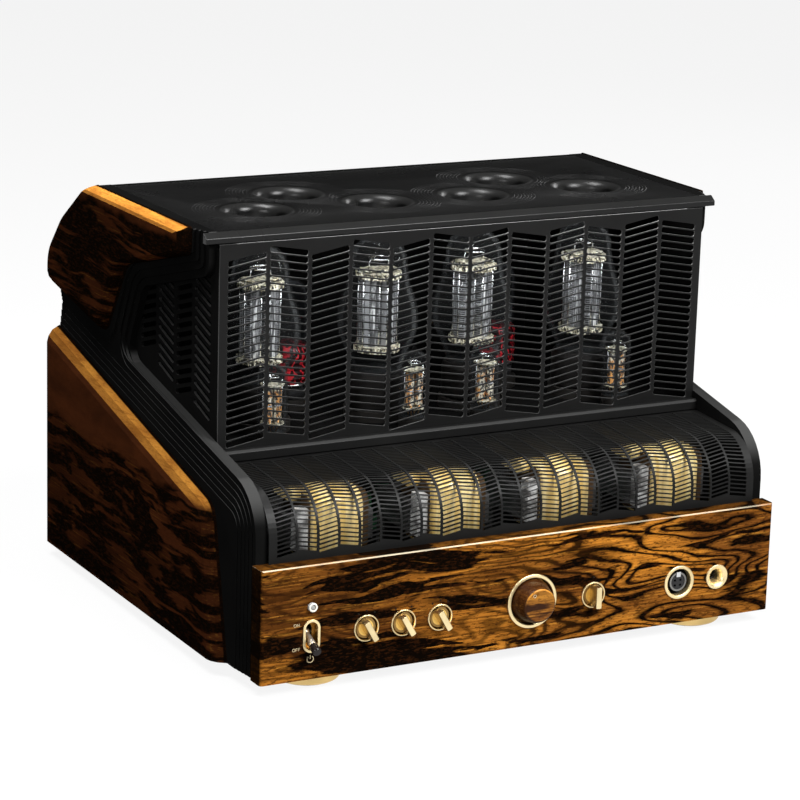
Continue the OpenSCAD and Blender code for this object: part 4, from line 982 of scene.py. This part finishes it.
def smooth_by_angle(angle=28):
    """Node group that shades faces as one surface, but keeps the edges that are sharper than an angle."""
    group = bpy.data.node_groups.new("smooth_by_angle", "GeometryNodeTree")
    for way in ("INPUT", "OUTPUT"):
        group.interface.new_socket("Geometry", in_out=way, socket_type="NodeSocketGeometry")
    first, last = group.nodes.new("NodeGroupInput"), group.nodes.new("NodeGroupOutput")
    faces, edges = (group.nodes.new("GeometryNodeSetShadeSmooth") for _ in range(2))
    faces.domain, edges.domain = "FACE", "EDGE"
    edges.inputs["Shade Smooth"].default_value = False
    sharp = group.nodes.new("FunctionNodeCompare")
    sharp.data_type, sharp.operation = "FLOAT", "GREATER_THAN"
    sharp.inputs["B"].default_value = math.radians(angle)
    bend = group.nodes.new("GeometryNodeInputMeshEdgeAngle")
    links = ((first.outputs[0], faces.inputs["Geometry"]), (faces.outputs[0], edges.inputs["Geometry"]),
             (bend.outputs["Unsigned Angle"], sharp.inputs["A"]), (sharp.outputs[0], edges.inputs["Selection"]),
             (edges.outputs[0], last.inputs[0]))
    for start, end in links:
        group.links.new(start, end)
    return group


SMOOTH = smooth_by_angle()
CURVED = ("side_plate_left", "side_plate_right", "top_plate", "rear_cover", "feet")


def soften(name, width, segments=2, angle=32):
    """Small rounded edges on a node, so that they catch the light."""
    node = nodes[name]
    weld = node.modifiers.new("weld", "WELD")
    weld.merge_threshold = 0.000002
    flat = node.modifiers.new("flat", "DECIMATE")
    flat.decimate_type = "DISSOLVE"
    flat.angle_limit = math.radians(0.5)
    if name in CURVED:
        node.modifiers.new("smooth", "NODES").node_group = SMOOTH
    bevel = node.modifiers.new("edges", "BEVEL")
    bevel.width = width * MM
    bevel.segments = segments
    bevel.limit_method = "ANGLE"
    bevel.angle_limit = math.radians(angle)
    bevel.harden_normals = True


# Nodes by the width of their rounded edges, in millimetres
SOFT_EDGES = {
    0.7: ("side_plate_left", "side_plate_right"),
    0.6: ("lower_wood_left", "lower_wood_right", "upper_wood_left", "upper_wood_right"),
    0.55: ("front_panel",),
    0.5: ("volume_knob", "top_plate", "ledge_bar", "feet"),
    0.4: ("rear_cover", "rear_panel"),
    0.3: ("volume_bezel",),
    0.25: ("selector_bezels", "toggle_bezel", "xlr_bezel", "selector_knob_1", "selector_knob_2", "selector_knob_3",
           "balance_knob"),
    0.2: ("jack_bezel", "upper_grille"),
}
for soft_width, names in SOFT_EDGES.items():
    for node_name in names:
        soften(node_name, soft_width)


# Stage

def floor():
    """Pale floor that reads as white and keeps the object's shadow."""
    s = Shader("floor", Roughness=0.9, Specular_IOR_Level=0.1)
    paths = s.add("LightPath").outputs
    mirrored = s.calc("MAXIMUM", paths["Is Glossy Ray"], paths["Is Transmission Ray"])
    seen = s.calc("MAXIMUM", paths["Is Camera Ray"], mirrored)
    s.drive("Base Color", s.mix(seen, (0.14, 0.14, 0.14), (0.85, 0.85, 0.85)))
    glow = s.add("Emission", {"Color": (1, 1, 1, 1), "Strength": 1.0})
    shown = s.add("MixShader", {0: s.calc("MULTIPLY", seen, 0.88), 1: s.surface.outputs[0], 2: glow.outputs[0]})
    s.tree.links.new(shown.outputs[0], s.output.inputs["Surface"])
    mesh = bmesh.new()
    bmesh.ops.create_circle(mesh, cap_ends=True, segments=64, radius=30)
    data = bpy.data.meshes.new("floor")
    mesh.to_mesh(data)
    mesh.free()
    data.materials.append(s.material)
    made = bpy.data.objects.new("floor", data)
    made.location.z = -0.0002
    bpy.context.scene.collection.objects.link(made)


def lamp(name, place, target, size, power):
    """A soft box that faces a point; sizes and places in metres, power in watts."""
    data = bpy.data.lights.new(name, "AREA")
    data.shape = "RECTANGLE"
    data.size, data.size_y = size
    data.energy = power
    made = bpy.data.objects.new(name, data)
    made.location = place
    made.rotation_euler = (Vector(target) - Vector(place)).to_track_quat("-Z", "Y").to_euler()
    bpy.context.scene.collection.objects.link(made)


def world():
    """Even studio surround: pale at the horizon, darker overhead."""
    made = bpy.data.worlds.new("studio")
    made.use_nodes = True
    tree = made.node_tree
    ground = tree.nodes["Background"]
    coords = tree.nodes.new("ShaderNodeTexCoord")
    split = tree.nodes.new("ShaderNodeSeparateXYZ")
    ramp = tree.nodes.new("ShaderNodeValToRGB")
    tree.links.new(coords.outputs["Generated"], split.inputs[0])
    tree.links.new(split.outputs["Z"], ramp.inputs[0])
    tree.links.new(ramp.outputs[0], ground.inputs["Color"])
    horizon, overhead = (0.5, 0.5, 0.5, 1), (0.02, 0.02, 0.02, 1)
    stops = ramp.color_ramp.elements
    stops[0].position, stops[0].color = 0.0, horizon
    stops[1].position, stops[1].color = 0.12, overhead
    ground.inputs["Strength"].default_value = 1.0
    bpy.context.scene.world = made


def camera():
    """The photograph's view: place, aim, roll and lens as fitted to the object's edges."""
    azimuth, elevation, roll = (math.radians(a) for a in (-28.597, 14.615, 1.698))
    place = at(-1074.477, -1769.099, 722.389)
    image_px, focal_px, sensor_mm = 800, 2983.694, 36
    level = math.cos(elevation)
    back = Vector((math.sin(azimuth) * level, -math.cos(azimuth) * level, math.sin(elevation)))
    right = Vector((math.cos(azimuth), math.sin(azimuth), 0))
    up = back.cross(right)
    turned_right = right * math.cos(roll) + up * math.sin(roll)
    turned_up = up * math.cos(roll) - right * math.sin(roll)
    data = bpy.data.cameras.new("camera")
    data.sensor_width = sensor_mm
    data.lens = focal_px / image_px * sensor_mm
    data.clip_start, data.clip_end = 0.05, 200
    made = bpy.data.objects.new("camera", data)
    axes = Matrix((turned_right, turned_up, back)).transposed().to_4x4()
    made.matrix_world = Matrix.Translation(place) @ axes
    bpy.context.scene.collection.objects.link(made)
    bpy.context.scene.camera = made


floor()
world()
camera()
lamp("key", (0.75, -1.75, 1.7), (0, -0.05, 0.12), (1.1, 1.1), 96)
lamp("overhead", (-0.50, 0.05, 2.0), (0, 0, 0.2), (0.8, 0.8), 36)
lamp("glint", (-1.0, -0.2, 1.9), (0, 0, 0.3), (0.30, 0.30), 9)
lamp("back_right", (2.0, 1.2, 0.9), (0, 0, 0.15), (0.8, 0.8), 6)
lamp("left_fill", (-1.5, -1.1, 0.7), (0, 0, 0.15), (0.7, 0.7), 11)
lamp("cabinet", at(0, 110, 297), at(0, 128, 209), (0.38, 0.02), 0.45)
bpy.context.scene.view_settings.view_transform = "Standard"
